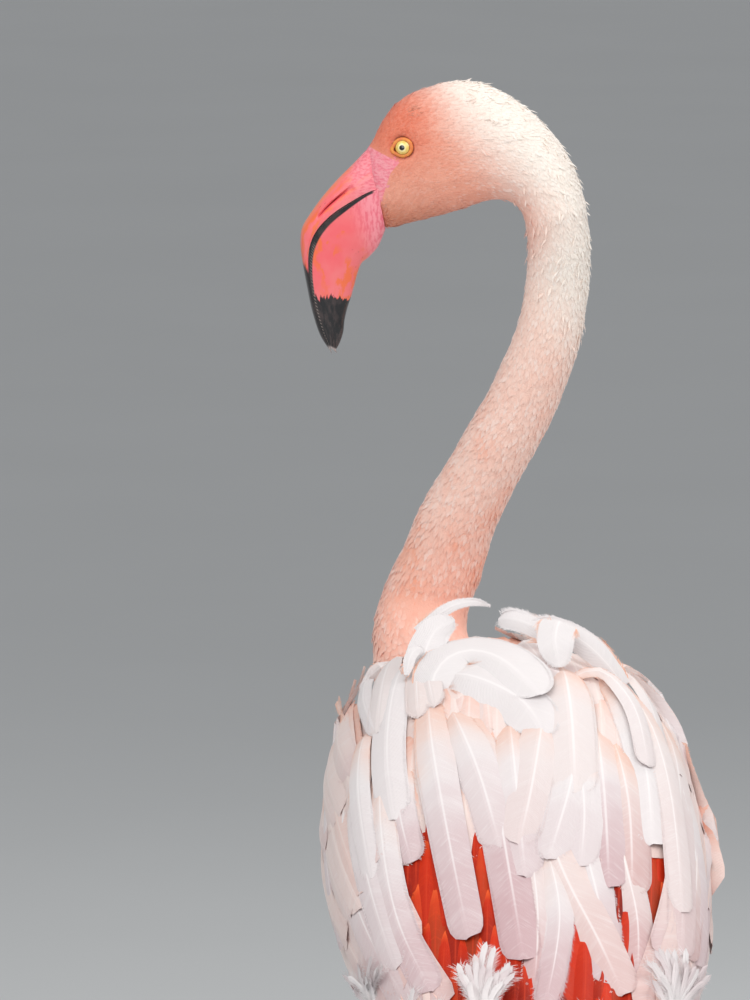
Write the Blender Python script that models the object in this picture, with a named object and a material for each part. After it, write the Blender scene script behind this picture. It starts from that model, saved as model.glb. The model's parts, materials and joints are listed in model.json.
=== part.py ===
"""A greater flamingo at life size, standing still with its neck raised and its head turned to its left.

The bird faces +Y and its own left is -X. Lengths are in metres. Each piece of the bird is one solid, and the
pieces stand a fraction of a millimetre apart. The plumage is a stack of shells lifted off one smooth body form.
"""

from math import cos, pi, radians, sin

import bmesh
import bpy
from mathutils import Matrix, Vector

MM = 0.001

# Where the middle of the stance stands, so that the origin is under the middle of the bird.
STANCE = Vector((10.3 * MM, 33 * MM, 0))
BODY_YAW = radians(3.5)  # the body faces a little to its own left
BODY_SHIFT = Vector((-8 * MM, 0, 0))  # and stands to the left of the head's and neck's own zero
GAP = 0.4 * MM  # between pieces that meet

# Body form, from the breast to the rump: distance forward, height of the widest level, half width there,
# rise to the back and drop to the belly, all in millimetres.
TRUNK_FORM = (
    (188, 752, 14, 15, 17),
    (180, 752, 32, 34, 40),
    (160, 752, 58, 58, 70),
    (130, 752, 77, 78, 100),
    (90, 750, 92, 95, 123),
    (40, 745, 99, 106, 138),
    (-10, 740, 102, 105, 135),
    (-60, 731, 98, 89, 113),
    (-105, 719, 83, 66, 84),
    (-145, 706, 60, 45, 54),
    (-180, 695, 36, 27, 29),
    (-200, 689, 16, 12, 13),
)
# The form that the folded wings lie on, which goes on behind the rump as their feathers do.
COVER_FORM = TRUNK_FORM[1:7] + (
    (-60, 734, 102, 91, 130),
    (-110, 725, 100, 72, 110),
    (-160, 713, 94, 53, 90),
    (-210, 700, 83, 36, 70),
    (-255, 689, 70, 25, 50),
    (-300, 678, 56, 16, 36),
)
# The mass of short feathers that fills the space under the wings behind the trunk.
RUMP_FORM = (
    (-50, 732, 88, 80, 60),
    (-110, 725, 91, 64, 66),
    (-160, 713, 85, 45, 52),
    (-205, 700, 70, 28, 34),
    (-236, 692, 36, 11, 13),
)
BACK_SQUARENESS, BELLY_SQUARENESS = 2.5, 2.0  # superellipse exponents of the two halves of a section

# Neck, from inside the breast up to the nape: centre across, forward and up, then half thickness, millimetres.
NECK_LINE = (
    (-14, 118, 742, 56),
    (-32, 151, 774, 46),
    (-48, 180, 804, 36),
    (-57, 200, 830, 29),
    (-54, 209, 855, 25.8),
    (-46, 204, 881, 25),
    (-37, 194, 907, 23.8),
    (-24, 182, 933, 22.6),
    (-10, 170, 960, 22.4),
    (3, 160, 986, 22),
    (17, 147, 1024, 20.8),
    (22, 140, 1050, 20),
    (24.5, 134, 1075, 19.8),
)
HEAD_FORWARD = 125  # distance forward of the head's middle plane
# Head in profile, from the nape to the bill: crown line, throat line and half width, millimetres.
HEAD_FORM = (
    ((42.5, 1098), (3.8, 1093), 19.8),
    ((34.9, 1126), (0.8, 1104), 20.2),
    ((20.5, 1151), (-6.6, 1111), 20.8),
    ((-5, 1174), (-20, 1110.5), 21.4),
    ((-32, 1184), (-35, 1105), 21.6),
    ((-56, 1179.5), (-51, 1100.5), 20.4),
    ((-73, 1171), (-64, 1097.5), 18.4),
    ((-83.5, 1157), (-73.5, 1095), 15.6),
    ((-89.5, 1143), (-80, 1093.5), 12.8),
)
EYE_PLACE = (-69.4, 1144.5)  # across and up
EYE_RADIUS = 7.0
EYE_OUT = 12.9  # the eyeball's centre, out from the head's middle plane

# Bill in profile, from its root to its tip: ridge, gape line, keel, then the half widths of the two halves.
BILL_FORM = (
    ((-90.0, 1143), (-85.4, 1119), (-80.5, 1093.5), 11.0, 12.6),
    ((-99.5, 1133), (-92.5, 1116), (-84.5, 1084), 10.8, 13.4),
    ((-109, 1123.5), (-102, 1110.5), (-90, 1077.5), 10.4, 13.6),
    ((-118, 1113), (-111, 1104.5), (-94.5, 1073.5), 10.2, 13.4),
    ((-125.5, 1102.5), (-118.4, 1097.5), (-97, 1067.5), 10.2, 12.8),
    ((-130, 1094.5), (-123.3, 1090), (-99, 1060), 10.0, 12.0),
    ((-131, 1085.5), (-125.8, 1081.5), (-101, 1053), 9.6, 11.2),
    ((-129.8, 1074.5), (-126, 1070), (-103.2, 1046), 9.0, 10.2),
    ((-127.2, 1060), (-124.4, 1057.5), (-104.8, 1039), 7.8, 8.8),
    ((-124, 1044.5), (-121.4, 1044), (-105.6, 1032), 6.2, 7.0),
    ((-119.5, 1030.5), (-117.6, 1031.5), (-107.6, 1025.6), 4.2, 4.6),
    ((-114, 1021.5), (-113.2, 1022.8), (-110, 1021.2), 2.0, 2.2),
)
BILL_RINGS = 17

# Legs, in the bird's own frame: half the stance, then joints as distance forward and height.
LEG_SPREAD = 42
HIP = (2, 648)
TIBIA_BARE = (-15, 536)
ANKLE = (-37, 338)
TOE_JOINT = (-22, 19)
LEG_TOE_OUT = radians(6)
TOES = (  # angle outwards from straight ahead, length, for the inner, middle and outer toe
    (radians(-33), 62),
    (radians(0), 80),
    (radians(31), 70),
)
WEB_BOTTOM, WEB_TOP = 0.7, 3.4
CLAW_LENGTH = 8.5


# ---------------------------------------------------------------------------- helpers


def material(name, colour, roughness):
    made = bpy.data.materials.new(name)
    made.use_nodes = True
    shader = made.node_tree.nodes["Principled BSDF"]
    shader.inputs["Base Color"].default_value = (*colour, 1)
    shader.inputs["Roughness"].default_value = roughness
    shader.inputs["Metallic"].default_value = 0
    made.diffuse_color = (*colour, 1)
    return made


def through(rows, share):
    """A row of numbers read off a smooth Catmull-Rom curve through the rows, share 0 to 1 along them."""
    spans = len(rows) - 1
    at = min(max(share, 0), 1) * spans
    i = min(int(at), spans - 1)
    t = at - i
    before, start, end, after = (rows[min(max(k, 0), spans)] for k in (i - 1, i, i + 1, i + 2))
    return [
        0.5 * (2 * b + (c - a) * t + (2 * a - 5 * b + 4 * c - d) * t**2 + (3 * b - a - 3 * c + d) * t**3)
        for a, b, c, d in zip(before, start, end, after)
    ]


def power(value, exponent):
    """A signed power, for superellipses."""
    return (1 if value >= 0 else -1) * abs(value) ** exponent


def aimed(direction):
    """A direction of the body's own frame, turned by the body's yaw."""
    return Matrix.Rotation(BODY_YAW, 3, "Z") @ Vector(direction)


def placed(point):
    """A point of the body's own frame, turned by its yaw and moved to where it stands."""
    return aimed(point) + BODY_SHIFT


def add_object(name, bm, finish):
    """A named object from a bmesh with its faces pointing out, standing in the stance."""
    bmesh.ops.remove_doubles(bm, verts=bm.verts, dist=0.00002)
    bmesh.ops.recalc_face_normals(bm, faces=bm.faces)
    mesh = bpy.data.meshes.new(name)
    bm.to_mesh(mesh)
    bm.free()
    mesh.shade_smooth()
    mesh.materials.append(finish)
    obj = bpy.data.objects.new(name, mesh)
    bpy.context.scene.collection.objects.link(obj)
    obj.parent = STAND_POINT
    return obj


def add_quad(bm, a, b, c, d):
    """Two triangles, so that a form and its clearance are split the same way."""
    bm.faces.new((a, b, c))
    bm.faces.new((a, c, d))


def loft(name, rings, finish):
    """A closed solid through rings of points, with flat ends."""
    bm = bmesh.new()
    loops = [[bm.verts.new(point) for point in ring] for ring in rings]
    count = len(loops[0])
    for near, far in zip(loops, loops[1:]):
        for i in range(count):
            j = (i + 1) % count
            add_quad(bm, near[i], near[j], far[j], far[i])
    bm.faces.new(loops[0])
    bm.faces.new(loops[-1])
    return add_object(name, bm, finish)


def shell(name, outer, inner, finish):
    """A closed solid between two grids of points, joined round their edges."""
    bm = bmesh.new()
    sides = [[[bm.verts.new(p) for p in row] for row in grid] for grid in (outer, inner)]
    rows, columns = len(outer), len(outer[0])
    for side in sides:
        for r in range(rows - 1):
            for c in range(columns - 1):
                add_quad(bm, side[r][c], side[r][c + 1], side[r + 1][c + 1], side[r + 1][c])
    rim = [(0, c) for c in range(columns)] + [(r, columns - 1) for r in range(1, rows)]
    rim += [(rows - 1, c) for c in range(columns - 2, -1, -1)] + [(r, 0) for r in range(rows - 2, 0, -1)]
    for (r, c), (r2, c2) in zip(rim, rim[1:] + rim[:1]):
        bm.faces.new((sides[0][r][c], sides[0][r2][c2], sides[1][r2][c2], sides[1][r][c]))
    return add_object(name, bm, finish)


def hidden(obj):
    """Marks a cutter, which isn't part of the bird."""
    obj.hide_render = True
    obj.display_type = "WIRE"
    return obj


def boolean(obj, other, operation):
    modifier = obj.modifiers.new(f"{operation.lower()} {other.name}", "BOOLEAN")
    modifier.object = other
    modifier.operation = operation
    modifier.solver = "EXACT"


def settle(obj):
    """Makes an object's cuts and joins part of its mesh, with its sharp edges kept sharp."""
    mesh = bpy.data.meshes.new_from_object(obj.evaluated_get(bpy.context.evaluated_depsgraph_get()))
    obj.modifiers.clear()
    mesh.name = obj.name
    mesh.set_sharp_from_angle(angle=radians(38))
    obj.data = mesh


def oval(centre, along, across, count, squareness=2.0):
    """A superellipse of points about centre: along and across are its two half axes as vectors."""
    turn = 2 / squareness
    angles = [2 * pi * i / count for i in range(count)]
    return [centre + along * power(cos(a), turn) + across * power(sin(a), turn) for a in angles]


# ---------------------------------------------------------------------------- body form and plumage


def on_form(form, share, angle, lift=0.0):
    """A point on a body form: share from front to rear, angle from the back's middle, positive to the right."""
    forward, level, wide, rise, drop = (value * MM for value in through(form, share))
    above = cos(angle) >= 0
    turn = 2 / (BACK_SQUARENESS if above else BELLY_SQUARENESS)
    x = wide * power(sin(angle), turn)
    z = level + (rise if above else drop) * power(cos(angle), turn)
    point = Vector((x, forward, z))
    if lift:
        outward = Vector((x / wide**2, 0, (z - level) / (rise if above else drop) ** 2)).normalized()
        point += outward * lift
    return placed(point)


def form_rings(form, count, around, lift=0.0):
    return [
        [on_form(form, r / (count - 1), 2 * pi * i / around, lift) for i in range(around)]
        for r in range(count)
    ]


def plumage(name, front, rear, top, low, lift, thick, finish, grid, lobes=0, lobe=0.0):
    """A curved shell of feathers on the cover form.

    front, rear, top and low give its edges as functions of 0 to 1 along the other direction, lift its height
    off the form at its front and at its rear; lobes cut the rear edge into feather tips, lobe deep. The shell
    thins towards its edges.
    """
    rows, columns = grid
    outer, inner = [], []
    for r in range(rows):
        along = r / (rows - 1)
        outer_row, inner_row = [], []
        for c in range(columns):
            round_body = c / (columns - 1)
            notch = lobe * abs(sin(pi * lobes * round_body)) if lobes else 0
            start = front(round_body)
            share = start + along * (rear(round_body) - lobe + notch - start)
            angle = top(along) + round_body * (low(along) - top(along))
            middle = min(1, 6 * along, 6 * (1 - along)) * min(1, 5 * round_body, 5 * (1 - round_body))
            body = 0.25 + 0.75 * max(0, middle)
            under = (lift[0] + (lift[1] - lift[0]) * along) * MM
            outer_row.append(on_form(COVER_FORM, share, angle, under + thick * MM * body))
            inner_row.append(on_form(COVER_FORM, share, angle, under))
        outer.append(outer_row)
        inner.append(inner_row)
    return shell(name, outer, inner, finish)


def blend(start, end):
    """An edge that runs straight from start to end."""
    return lambda t: start + (end - start) * t


def bowed(start, middle, end):
    """An edge that runs from start through middle to end in a smooth bow."""
    return lambda t: start * (1 - t) ** 2 + (4 * middle - start - end) * t * (1 - t) + end * t**2


def make_trunk(finish):
    return loft("trunk", form_rings(TRUNK_FORM, 16, 24), finish)


def make_wings(covert, flight, scapular):
    for side, name in ((-1, "left"), (1, "right")):
        plumage(
            f"wing_{name}",
            bowed(0.25, 0.19, 0.20),
            bowed(0.84, 0.90, 0.80),
            lambda t, s=side: s * radians(26 + 6 * t),
            lambda t, s=side: s * radians(90 + 112 * t * (1 - t) - 2 * t),
            (2.2, 2.2),
            4.7,
            covert,
            grid=(9, 9),
        )
        plumage(
            f"tertials_{name}",
            blend(0.36, 0.30),
            bowed(0.875, 0.93, 0.80),
            lambda t, s=side: s * radians(0.03),
            lambda t, s=side, low=bowed(56, 97, 106): s * radians(low(t)),
            (8.9, 9.2),
            4.4,
            scapular,
            grid=(7, 19),
            lobes=6,
            lobe=0.035,
        )
        plumage(
            f"primaries_{name}",
            blend(0.70, 0.74),
            bowed(0.965, 1.0, 0.93),
            lambda t, s=side: s * radians(62 - 30 * t),
            lambda t, s=side: s * radians(100 - 26 * t),
            (-4.4, -4.4),
            4.5,
            flight,
            grid=(5, 9),
            lobes=2,
            lobe=0.03,
        )


def make_mantle(name, finish, sunk=0.0, grown=0.0):
    """The cape of feathers over the shoulders, which overlaps the tertials."""
    return plumage(
        name,
        bowed(0.30, 0.19, 0.30),
        bowed(0.39, 0.50, 0.39),
        lambda t: -radians(60 + 4 * t),
        lambda t: radians(60 + 4 * t),
        (10.2 - sunk, 16.4 - sunk),
        4.4 + sunk + grown,
        finish,
        grid=(5, 25),
        lobes=8,
        lobe=0.03,
    )


def make_plume(name, root, bow, tip, lean, wide, finish):
    """A single long feather that stands off the back: a leaf along a bowed line, thin across lean."""
    rows = 9
    line = [
        placed(
            [
                (a * (1 - t) ** 2 + 2 * b * t * (1 - t) + c * t**2) * MM
                for a, b, c in zip(root, bow, tip)
            ]
        )
        for t in (i / (rows - 1) for i in range(rows))
    ]
    rings = []
    for i, point in enumerate(line):
        t = i / (rows - 1)
        ahead = (line[min(i + 1, rows - 1)] - line[max(i - 1, 0)]).normalized()
        across = ahead.cross(aimed(lean)).normalized()
        out = across.cross(ahead).normalized()
        half = wide * MM * (0.42 + 0.58 * sin(pi * min(t * 1.25, 1) ** 0.8)) * (1 - 0.55 * max(0, t - 0.8) / 0.2)
        cup = out * half * 0.16
        ring = [point + across * half * u - cup * u * u + out * 0.8 * MM for u in (-1, -0.5, 0, 0.5, 1)]
        ring += [point + across * half * u - cup * u * u - out * 0.8 * MM for u in (1, 0.5, 0, -0.5, -1)]
        rings.append(ring)
    return loft(name, rings, finish)


def make_plumes(finish):
    """The loose shoulder feathers that curl up above the back, each rooted on the mantle."""
    mantle_clearance = hidden(make_mantle("mantle_clearance", finish, sunk=8.0, grown=GAP / MM))
    for plume in (
        make_plume("plume_left", (-62, 52, 853), (-40, 41, 887), (-10, 34, 882), (0.2, 1, 0.25), 8.5, finish),
        make_plume("plume_right", (50, 40, 858), (22, 37, 873), (-5, 30, 878), (0.1, 1, 0.3), 7.5, finish),
    ):
        boolean(plume, mantle_clearance, "DIFFERENCE")


def make_rump(trunk_clearance, finish):
    rump = loft("rump", form_rings(RUMP_FORM, 7, 16), finish)
    boolean(rump, trunk_clearance, "DIFFERENCE")
    return hidden(loft("rump_clearance", form_rings(RUMP_FORM, 7, 16, GAP), finish))


def make_tail(finish):
    """A short rounded fan behind the rump."""
    rows, columns = 6, 9
    outer, inner = [], []
    for r in range(rows):
        t = r / (rows - 1)
        upper_row, lower_row = [], []
        for c in range(columns):
            u = 2 * c / (columns - 1) - 1
            half = (22 + 22 * t) * MM
            forward = (-168 - 118 * t * (1 - 0.13 * u * u)) * MM
            level = (694 - 44 * t - 9 * u * u * (0.5 + t)) * MM
            thick = (1.2 + 8 * (1 - t) * (1 - u * u)) * MM
            upper_row.append(placed((u * half, forward, level + thick / 2)))
            lower_row.append(placed((u * half, forward, level - thick / 2)))
        outer.append(upper_row)
        inner.append(lower_row)
    return shell("tail", outer, inner, finish)


# ---------------------------------------------------------------------------- neck and head


def neck_rings(count):
    """Rings up the neck, carried along its line without twisting."""
    rows = [through(NECK_LINE, i / (count - 1)) for i in range(count)]
    line = [Vector(row[:3]) * MM for row in rows]
    across = Vector((0, 1, 0))
    rings = []
    for i in reversed(range(count)):
        ahead = (line[min(i + 1, count - 1)] - line[max(i - 1, 0)]).normalized()
        across = (across - ahead * across.dot(ahead)).normalized()
        half = rows[i][3] * MM
        rings.append(oval(line[i], across.cross(ahead).normalized() * half, across * half, 16))
    return rings[::-1]


def head_rings(count):
    rings = []
    for i in range(count):
        crown_x, crown_z, throat_x, throat_z, wide = through(
            [(*crown, *throat, half) for crown, throat, half in HEAD_FORM], i / (count - 1)
        )
        crown = Vector((crown_x, HEAD_FORWARD, crown_z)) * MM
        throat = Vector((throat_x, HEAD_FORWARD, throat_z)) * MM
        rings.append(
            oval((crown + throat) / 2, (crown - throat) / 2, Vector((0, wide * MM, 0)), 16, squareness=2.15)
        )
    return rings


def along_line(rings, first, last, inset_first=0.0, inset_last=0.0):
    """Rings first to last, with the end rings moved inwards by the insets, so that lengths don't touch."""
    part = [list(ring) for ring in rings[first : last + 1]]
    for end, beyond, inset in ((0, 1, inset_first), (-1, -2, inset_last)):
        part[end] = [p + (q - p).normalized() * inset for p, q in zip(part[end], part[beyond])]
    return part


def make_neck_and_head(plume, trunk_clearance, skin, iris):
    neck, skull = neck_rings(27), head_rings(19)
    rings = neck[:-1] + [[(p + q) / 2 for p, q in zip(neck[-1], skull[0])]] + skull[1:]
    cuts = (0, 11, 19, 26)
    for name, first, last in zip(("neck_lower", "neck_middle", "neck_upper"), cuts, cuts[1:]):
        length = loft(name, along_line(rings, first, last, GAP), plume)
        if name == "neck_lower":
            boolean(length, trunk_clearance, "DIFFERENCE")
    head = loft("head", along_line(rings, cuts[-1], len(rings) - 1, GAP), plume)
    across, up = EYE_PLACE
    for side, name in ((-1, "left"), (1, "right")):
        centre = Vector((across, HEAD_FORWARD + side * EYE_OUT, up)) * MM
        socket = hidden(ball(f"socket_{name}", centre, EYE_RADIUS * MM + 0.35 * MM, skin))
        boolean(head, socket, "DIFFERENCE")
        ball(f"eye_{name}", centre, EYE_RADIUS * MM, iris)


def ball(name, centre, radius, finish):
    bm = bmesh.new()
    bmesh.ops.create_uvsphere(bm, u_segments=10, v_segments=6, radius=radius)
    bmesh.ops.rotate(bm, verts=bm.verts, cent=(0, 0, 0), matrix=Matrix.Rotation(pi / 2, 3, "X"))
    bmesh.ops.translate(bm, verts=bm.verts, vec=centre)
    return add_object(name, bm, finish)


def make_bill(horn_upper, horn_lower):
    """Two halves that meet along the gape: a shallow ridged lid and a deep trough with a rounded keel."""
    flat = [(*ridge, *gape, *keel, upper, lower) for ridge, gape, keel, upper, lower in BILL_FORM]
    rows = [through(flat, i / (BILL_RINGS - 1)) for i in range(BILL_RINGS)]
    upper_rings, lower_rings = [], []
    for ridge_x, ridge_z, gape_x, gape_z, keel_x, keel_z, upper, lower in rows:
        ridge, gape, keel = (
            Vector((x, HEAD_FORWARD, z)) * MM
            for x, z in ((ridge_x, ridge_z), (gape_x, gape_z), (keel_x, keel_z))
        )
        across = Vector((0, MM, 0))
        apart = (keel - ridge).normalized() * GAP / 2
        arch = [pi * i / 8 for i in range(9)]
        upper_rings.append(
            [gape - apart + (ridge - gape) * sin(a) ** 0.85 + across * upper * cos(a) for a in arch]
        )
        lower_rings.append(
            [gape + apart + (keel - gape) * sin(a) ** 0.75 + across * lower * power(cos(a), 0.9) for a in arch]
        )
    loft("bill_upper", upper_rings, horn_upper)
    loft("bill_lower", lower_rings, horn_lower)


# ---------------------------------------------------------------------------- legs and feet


def leg_point(side, forward, up):
    return placed((side * LEG_SPREAD * MM, forward * MM, up * MM))


def between(start, end, share):
    return tuple(a + (b - a) * share for a, b in zip(start, end))


def leg_rings(side):
    """Rings down the whole leg, from inside the body to the toe joint."""
    stops = [
        (*HIP, 34, 42),
        (*between(HIP, TIBIA_BARE, 0.3), 31, 38),
        (*between(HIP, TIBIA_BARE, 0.55), 25, 30),
        (*between(HIP, TIBIA_BARE, 0.8), 16.5, 19),
        (*between(HIP, TIBIA_BARE, 0.94), 11.5, 12.5),
        (*TIBIA_BARE, 9.5, 10),
        (TIBIA_BARE[0], TIBIA_BARE[1] - 0.8, 8.2, 9),
        (*between(TIBIA_BARE, ANKLE, 0.3), 7.6, 8.4),
        (*between(TIBIA_BARE, ANKLE, 0.7), 7.8, 8.6),
        (*between(TIBIA_BARE, ANKLE, 0.93), 9.4, 11),
        (ANKLE[0] - 0.5, ANKLE[1] + 6, 11.2, 14),
        (ANKLE[0], ANKLE[1] - 6, 10.8, 13.4),
        (*between(ANKLE, TOE_JOINT, 0.055), 8.4, 10.4),
        (*between(ANKLE, TOE_JOINT, 0.18), 6.2, 7.6),
        (*between(ANKLE, TOE_JOINT, 0.6), 5.9, 7.0),
        (*between(ANKLE, TOE_JOINT, 0.9), 6.6, 7.4),
        (*TOE_JOINT, 8.4, 8.2),
    ]
    line = [leg_point(side, forward, up) for forward, up, _, _ in stops]
    across = aimed((1, 0, 0))
    rings = []
    for i, (point, (_, _, wide, deep)) in enumerate(zip(line, stops)):
        ahead = (line[min(i + 1, len(line) - 1)] - line[max(i - 1, 0)]).normalized()
        front = ahead.cross(across).normalized()
        rings.append(oval(point, across * wide * MM, front * deep * MM, 12))
    return rings


def make_leg(side, name, trunk_clearance, plume, skin, claw):
    rings = leg_rings(side)
    thigh = loft(f"thigh_{name}", rings[:6], plume)
    boolean(thigh, trunk_clearance, "DIFFERENCE")
    loft(f"shank_{name}", along_line(rings, 6, 9), skin)
    loft(f"ankle_{name}", along_line(rings, 9, 12, GAP), skin)
    loft(f"tarsus_{name}", along_line(rings, 12, 16, GAP), skin)
    make_foot(side, name, skin, claw)


def toe_section(centre, ahead, half, top, bottom):
    """A toe's section: round above and flat below, at heights top and bottom."""
    across = Vector((-ahead.y, ahead.x, 0)) * half
    ring = []
    for i in range(7):
        a = pi * i / 6
        level = bottom + (top - bottom) * (0.28 + 0.72 * sin(a))
        ring.append(Vector((centre.x, centre.y, 0)) + across * cos(a) + Vector((0, 0, level)))
    for u in (-0.72, 0.72):
        ring.append(Vector((centre.x, centre.y, 0)) + across * u + Vector((0, 0, bottom)))
    return ring


def make_foot(side, name, skin, claw):
    """Three webbed toes on flat pads, a raised hind toe and four claws."""
    joint = leg_point(side, TOE_JOINT[0], 0)
    ways = [BODY_YAW - side * (LEG_TOE_OUT + angle) for angle, _ in TOES]
    ends = [
        joint + Vector((-sin(way), cos(way), 0)) * length * MM for way, (_, length) in zip(ways, TOES)
    ]
    pad = []
    for half, top in ((9.4, 0.0), (10.6, 4.0), (10.2, 9.5), (8.8, 14.0), (7.6, 18.2)):
        centre = joint + Vector((0, 0, top * MM))
        pad.append(oval(centre, Vector((half, 0, 0)) * MM, Vector((0, half, 0)) * MM, 12))
    foot = loft(f"foot_{name}", pad, skin)
    for number, (way, end, (_, length)) in enumerate(zip(ways, ends, TOES)):
        ahead = Vector((-sin(way), cos(way), 0))
        rings = []
        for t, half, top, bottom in (
            (0.02, 5.0, 10.5, 1.2),
            (0.24, 4.9, 9.8, 0.4),
            (0.42, 4.5, 8.4, 0.0),
            (0.66, 4.1, 7.7, 0.0),
            (0.88, 3.6, 6.6, 0.0),
            (1.0, 2.5, 5.0, 0.0),
        ):
            centre = joint + ahead * length * t * MM
            rings.append(toe_section(centre, ahead, half * MM, top * MM, bottom * MM))
        toe = hidden(loft(f"toe_form_{name}_{number}", rings, skin))
        boolean(foot, toe, "UNION")
        rings = []
        for t, half, level in ((0.05, 2.1, 2.6), (0.4, 1.7, 2.7), (0.8, 0.9, 1.6), (1.0, 0.35, 0.9)):
            centre = end + ahead * CLAW_LENGTH * t * MM + Vector((0, 0, level * MM))
            side_way = Vector((-ahead.y, ahead.x, 0))
            rings.append(oval(centre, side_way * half * MM, Vector((0, 0, half * 0.85 * MM)), 6))
        loft(f"claw_{name}_{('inner', 'middle', 'outer')[number]}", rings, claw)
    boolean(foot, make_web(name, joint, ends, skin), "UNION")
    make_hind_toe(side, name, joint, skin, claw)


def make_web(name, joint, ends, skin):
    """The web between the toes: a thin plate whose front edges bow inwards."""
    outline = [joint + (ends[0] - joint) * 0.1]
    for near, far in ((ends[0], ends[1]), (ends[1], ends[2])):
        near_edge, far_edge = (joint + (end - joint) * 0.9 for end in (near, far))
        for i in range(7):
            t = i / 6
            on_edge = near_edge.lerp(far_edge, t)
            outline.append(on_edge + (joint - on_edge) * 0.26 * sin(pi * t))
    outline.append(joint + (ends[2] - joint) * 0.1)
    levels = [[p + Vector((0, 0, z * MM)) for p in outline] for z in (WEB_BOTTOM, WEB_TOP)]
    return hidden(loft(f"web_form_{name}", levels, skin))


def make_hind_toe(side, name, joint, skin, claw):
    back = aimed((side * 0.25, -1, 0)).normalized()
    root = joint + back * 11 * MM + Vector((0, 0, 17 * MM))
    tip = root + back * 15 * MM - Vector((0, 0, 6 * MM))
    claw_tip = tip + back * 6 * MM - Vector((0, 0, 4.5 * MM))

    def rings(start, end, halves):
        ahead = (end - start).normalized()
        across = Vector((-ahead.y, ahead.x, 0)).normalized()
        up = ahead.cross(across)
        return [
            oval(start.lerp(end, t), across * half * MM, up * half * MM, 8) for t, half in halves
        ]

    loft(f"hind_toe_{name}", rings(root, tip, ((0, 3.6), (0.4, 3.2), (0.8, 2.7), (1, 2.1))), skin)
    loft(f"claw_{name}_hind", rings(tip, claw_tip, ((0.06, 1.8), (0.5, 1.3), (1, 0.35))), claw)


# ---------------------------------------------------------------------------- the whole bird

for old in list(bpy.data.objects):
    bpy.data.objects.remove(old)

STAND_POINT = bpy.data.objects.new("stand_point", None)
STAND_POINT.location = STANCE
bpy.context.scene.collection.objects.link(STAND_POINT)

pale_plume = material("pale plume", (0.93, 0.74, 0.68), 0.8)
white_plume = material("white plume", (0.94, 0.86, 0.83), 0.75)
coral_covert = material("coral covert", (0.90, 0.42, 0.30), 0.75)
black_quill = material("black quill", (0.03, 0.03, 0.035), 0.6)
pink_skin = material("pink skin", (0.86, 0.36, 0.38), 0.5)
pink_horn = material("pink horn", (0.90, 0.25, 0.30), 0.35)
coral_horn = material("coral horn", (0.88, 0.30, 0.27), 0.35)
dark_claw = material("dark claw", (0.06, 0.05, 0.05), 0.4)
yellow_iris = material("yellow iris", (0.92, 0.78, 0.30), 0.1)

make_trunk(pale_plume)
clearance = hidden(loft("trunk_clearance", form_rings(TRUNK_FORM, 16, 24, GAP), pale_plume))
make_wings(coral_covert, black_quill, white_plume)
make_mantle("mantle", white_plume)
make_plumes(white_plume)
rump_clearance = make_rump(clearance, coral_covert)
tail = make_tail(white_plume)
boolean(tail, clearance, "DIFFERENCE")
boolean(tail, rump_clearance, "DIFFERENCE")
make_neck_and_head(pale_plume, clearance, pink_skin, yellow_iris)
make_bill(pink_horn, coral_horn)
for which, word in ((-1, "left"), (1, "right")):
    make_leg(which, word, clearance, pale_plume, pink_skin, dark_claw)

bpy.context.view_layer.update()
solids = [obj for obj in bpy.data.objects if obj.type == "MESH" and not obj.hide_render]
for solid in solids:
    settle(solid)
for cutter in [obj for obj in bpy.data.objects if obj.hide_render]:
    bpy.data.objects.remove(cutter)
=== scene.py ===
import json
from math import cos, pi, radians, sin

import bmesh
import bpy
import numpy as np
from mathutils import Matrix, Vector
from mathutils.bvhtree import BVHTree

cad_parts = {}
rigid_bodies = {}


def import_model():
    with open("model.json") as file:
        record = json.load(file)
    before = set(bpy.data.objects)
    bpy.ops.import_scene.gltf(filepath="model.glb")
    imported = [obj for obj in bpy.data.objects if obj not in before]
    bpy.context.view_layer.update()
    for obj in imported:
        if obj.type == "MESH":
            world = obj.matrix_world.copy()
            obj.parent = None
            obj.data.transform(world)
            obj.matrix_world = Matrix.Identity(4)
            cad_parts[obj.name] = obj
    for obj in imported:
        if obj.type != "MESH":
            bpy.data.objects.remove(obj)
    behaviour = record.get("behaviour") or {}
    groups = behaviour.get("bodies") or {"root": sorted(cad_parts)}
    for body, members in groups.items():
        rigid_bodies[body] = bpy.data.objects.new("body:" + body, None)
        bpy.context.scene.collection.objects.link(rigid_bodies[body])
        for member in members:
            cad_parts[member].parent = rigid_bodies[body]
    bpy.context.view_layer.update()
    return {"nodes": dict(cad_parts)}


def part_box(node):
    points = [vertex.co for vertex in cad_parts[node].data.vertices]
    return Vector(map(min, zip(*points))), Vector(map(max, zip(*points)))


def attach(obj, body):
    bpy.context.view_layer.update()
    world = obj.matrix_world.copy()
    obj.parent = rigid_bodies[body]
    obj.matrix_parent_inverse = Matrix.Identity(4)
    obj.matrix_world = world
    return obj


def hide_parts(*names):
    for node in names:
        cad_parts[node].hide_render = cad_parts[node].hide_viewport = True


# A greater flamingo, life size, standing with its neck raised. It faces +Y and looks to its own left, -X.
# Lengths are in metres, or in millimetres where a dictionary says so.

mm = 0.001
sides = ("left", "right")
for leftover in list(bpy.data.objects):
    bpy.data.objects.remove(leftover)
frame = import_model()
cadNodes = frame["nodes"]
chance = np.random.default_rng(7)


# Node trees, written as sums

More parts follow.
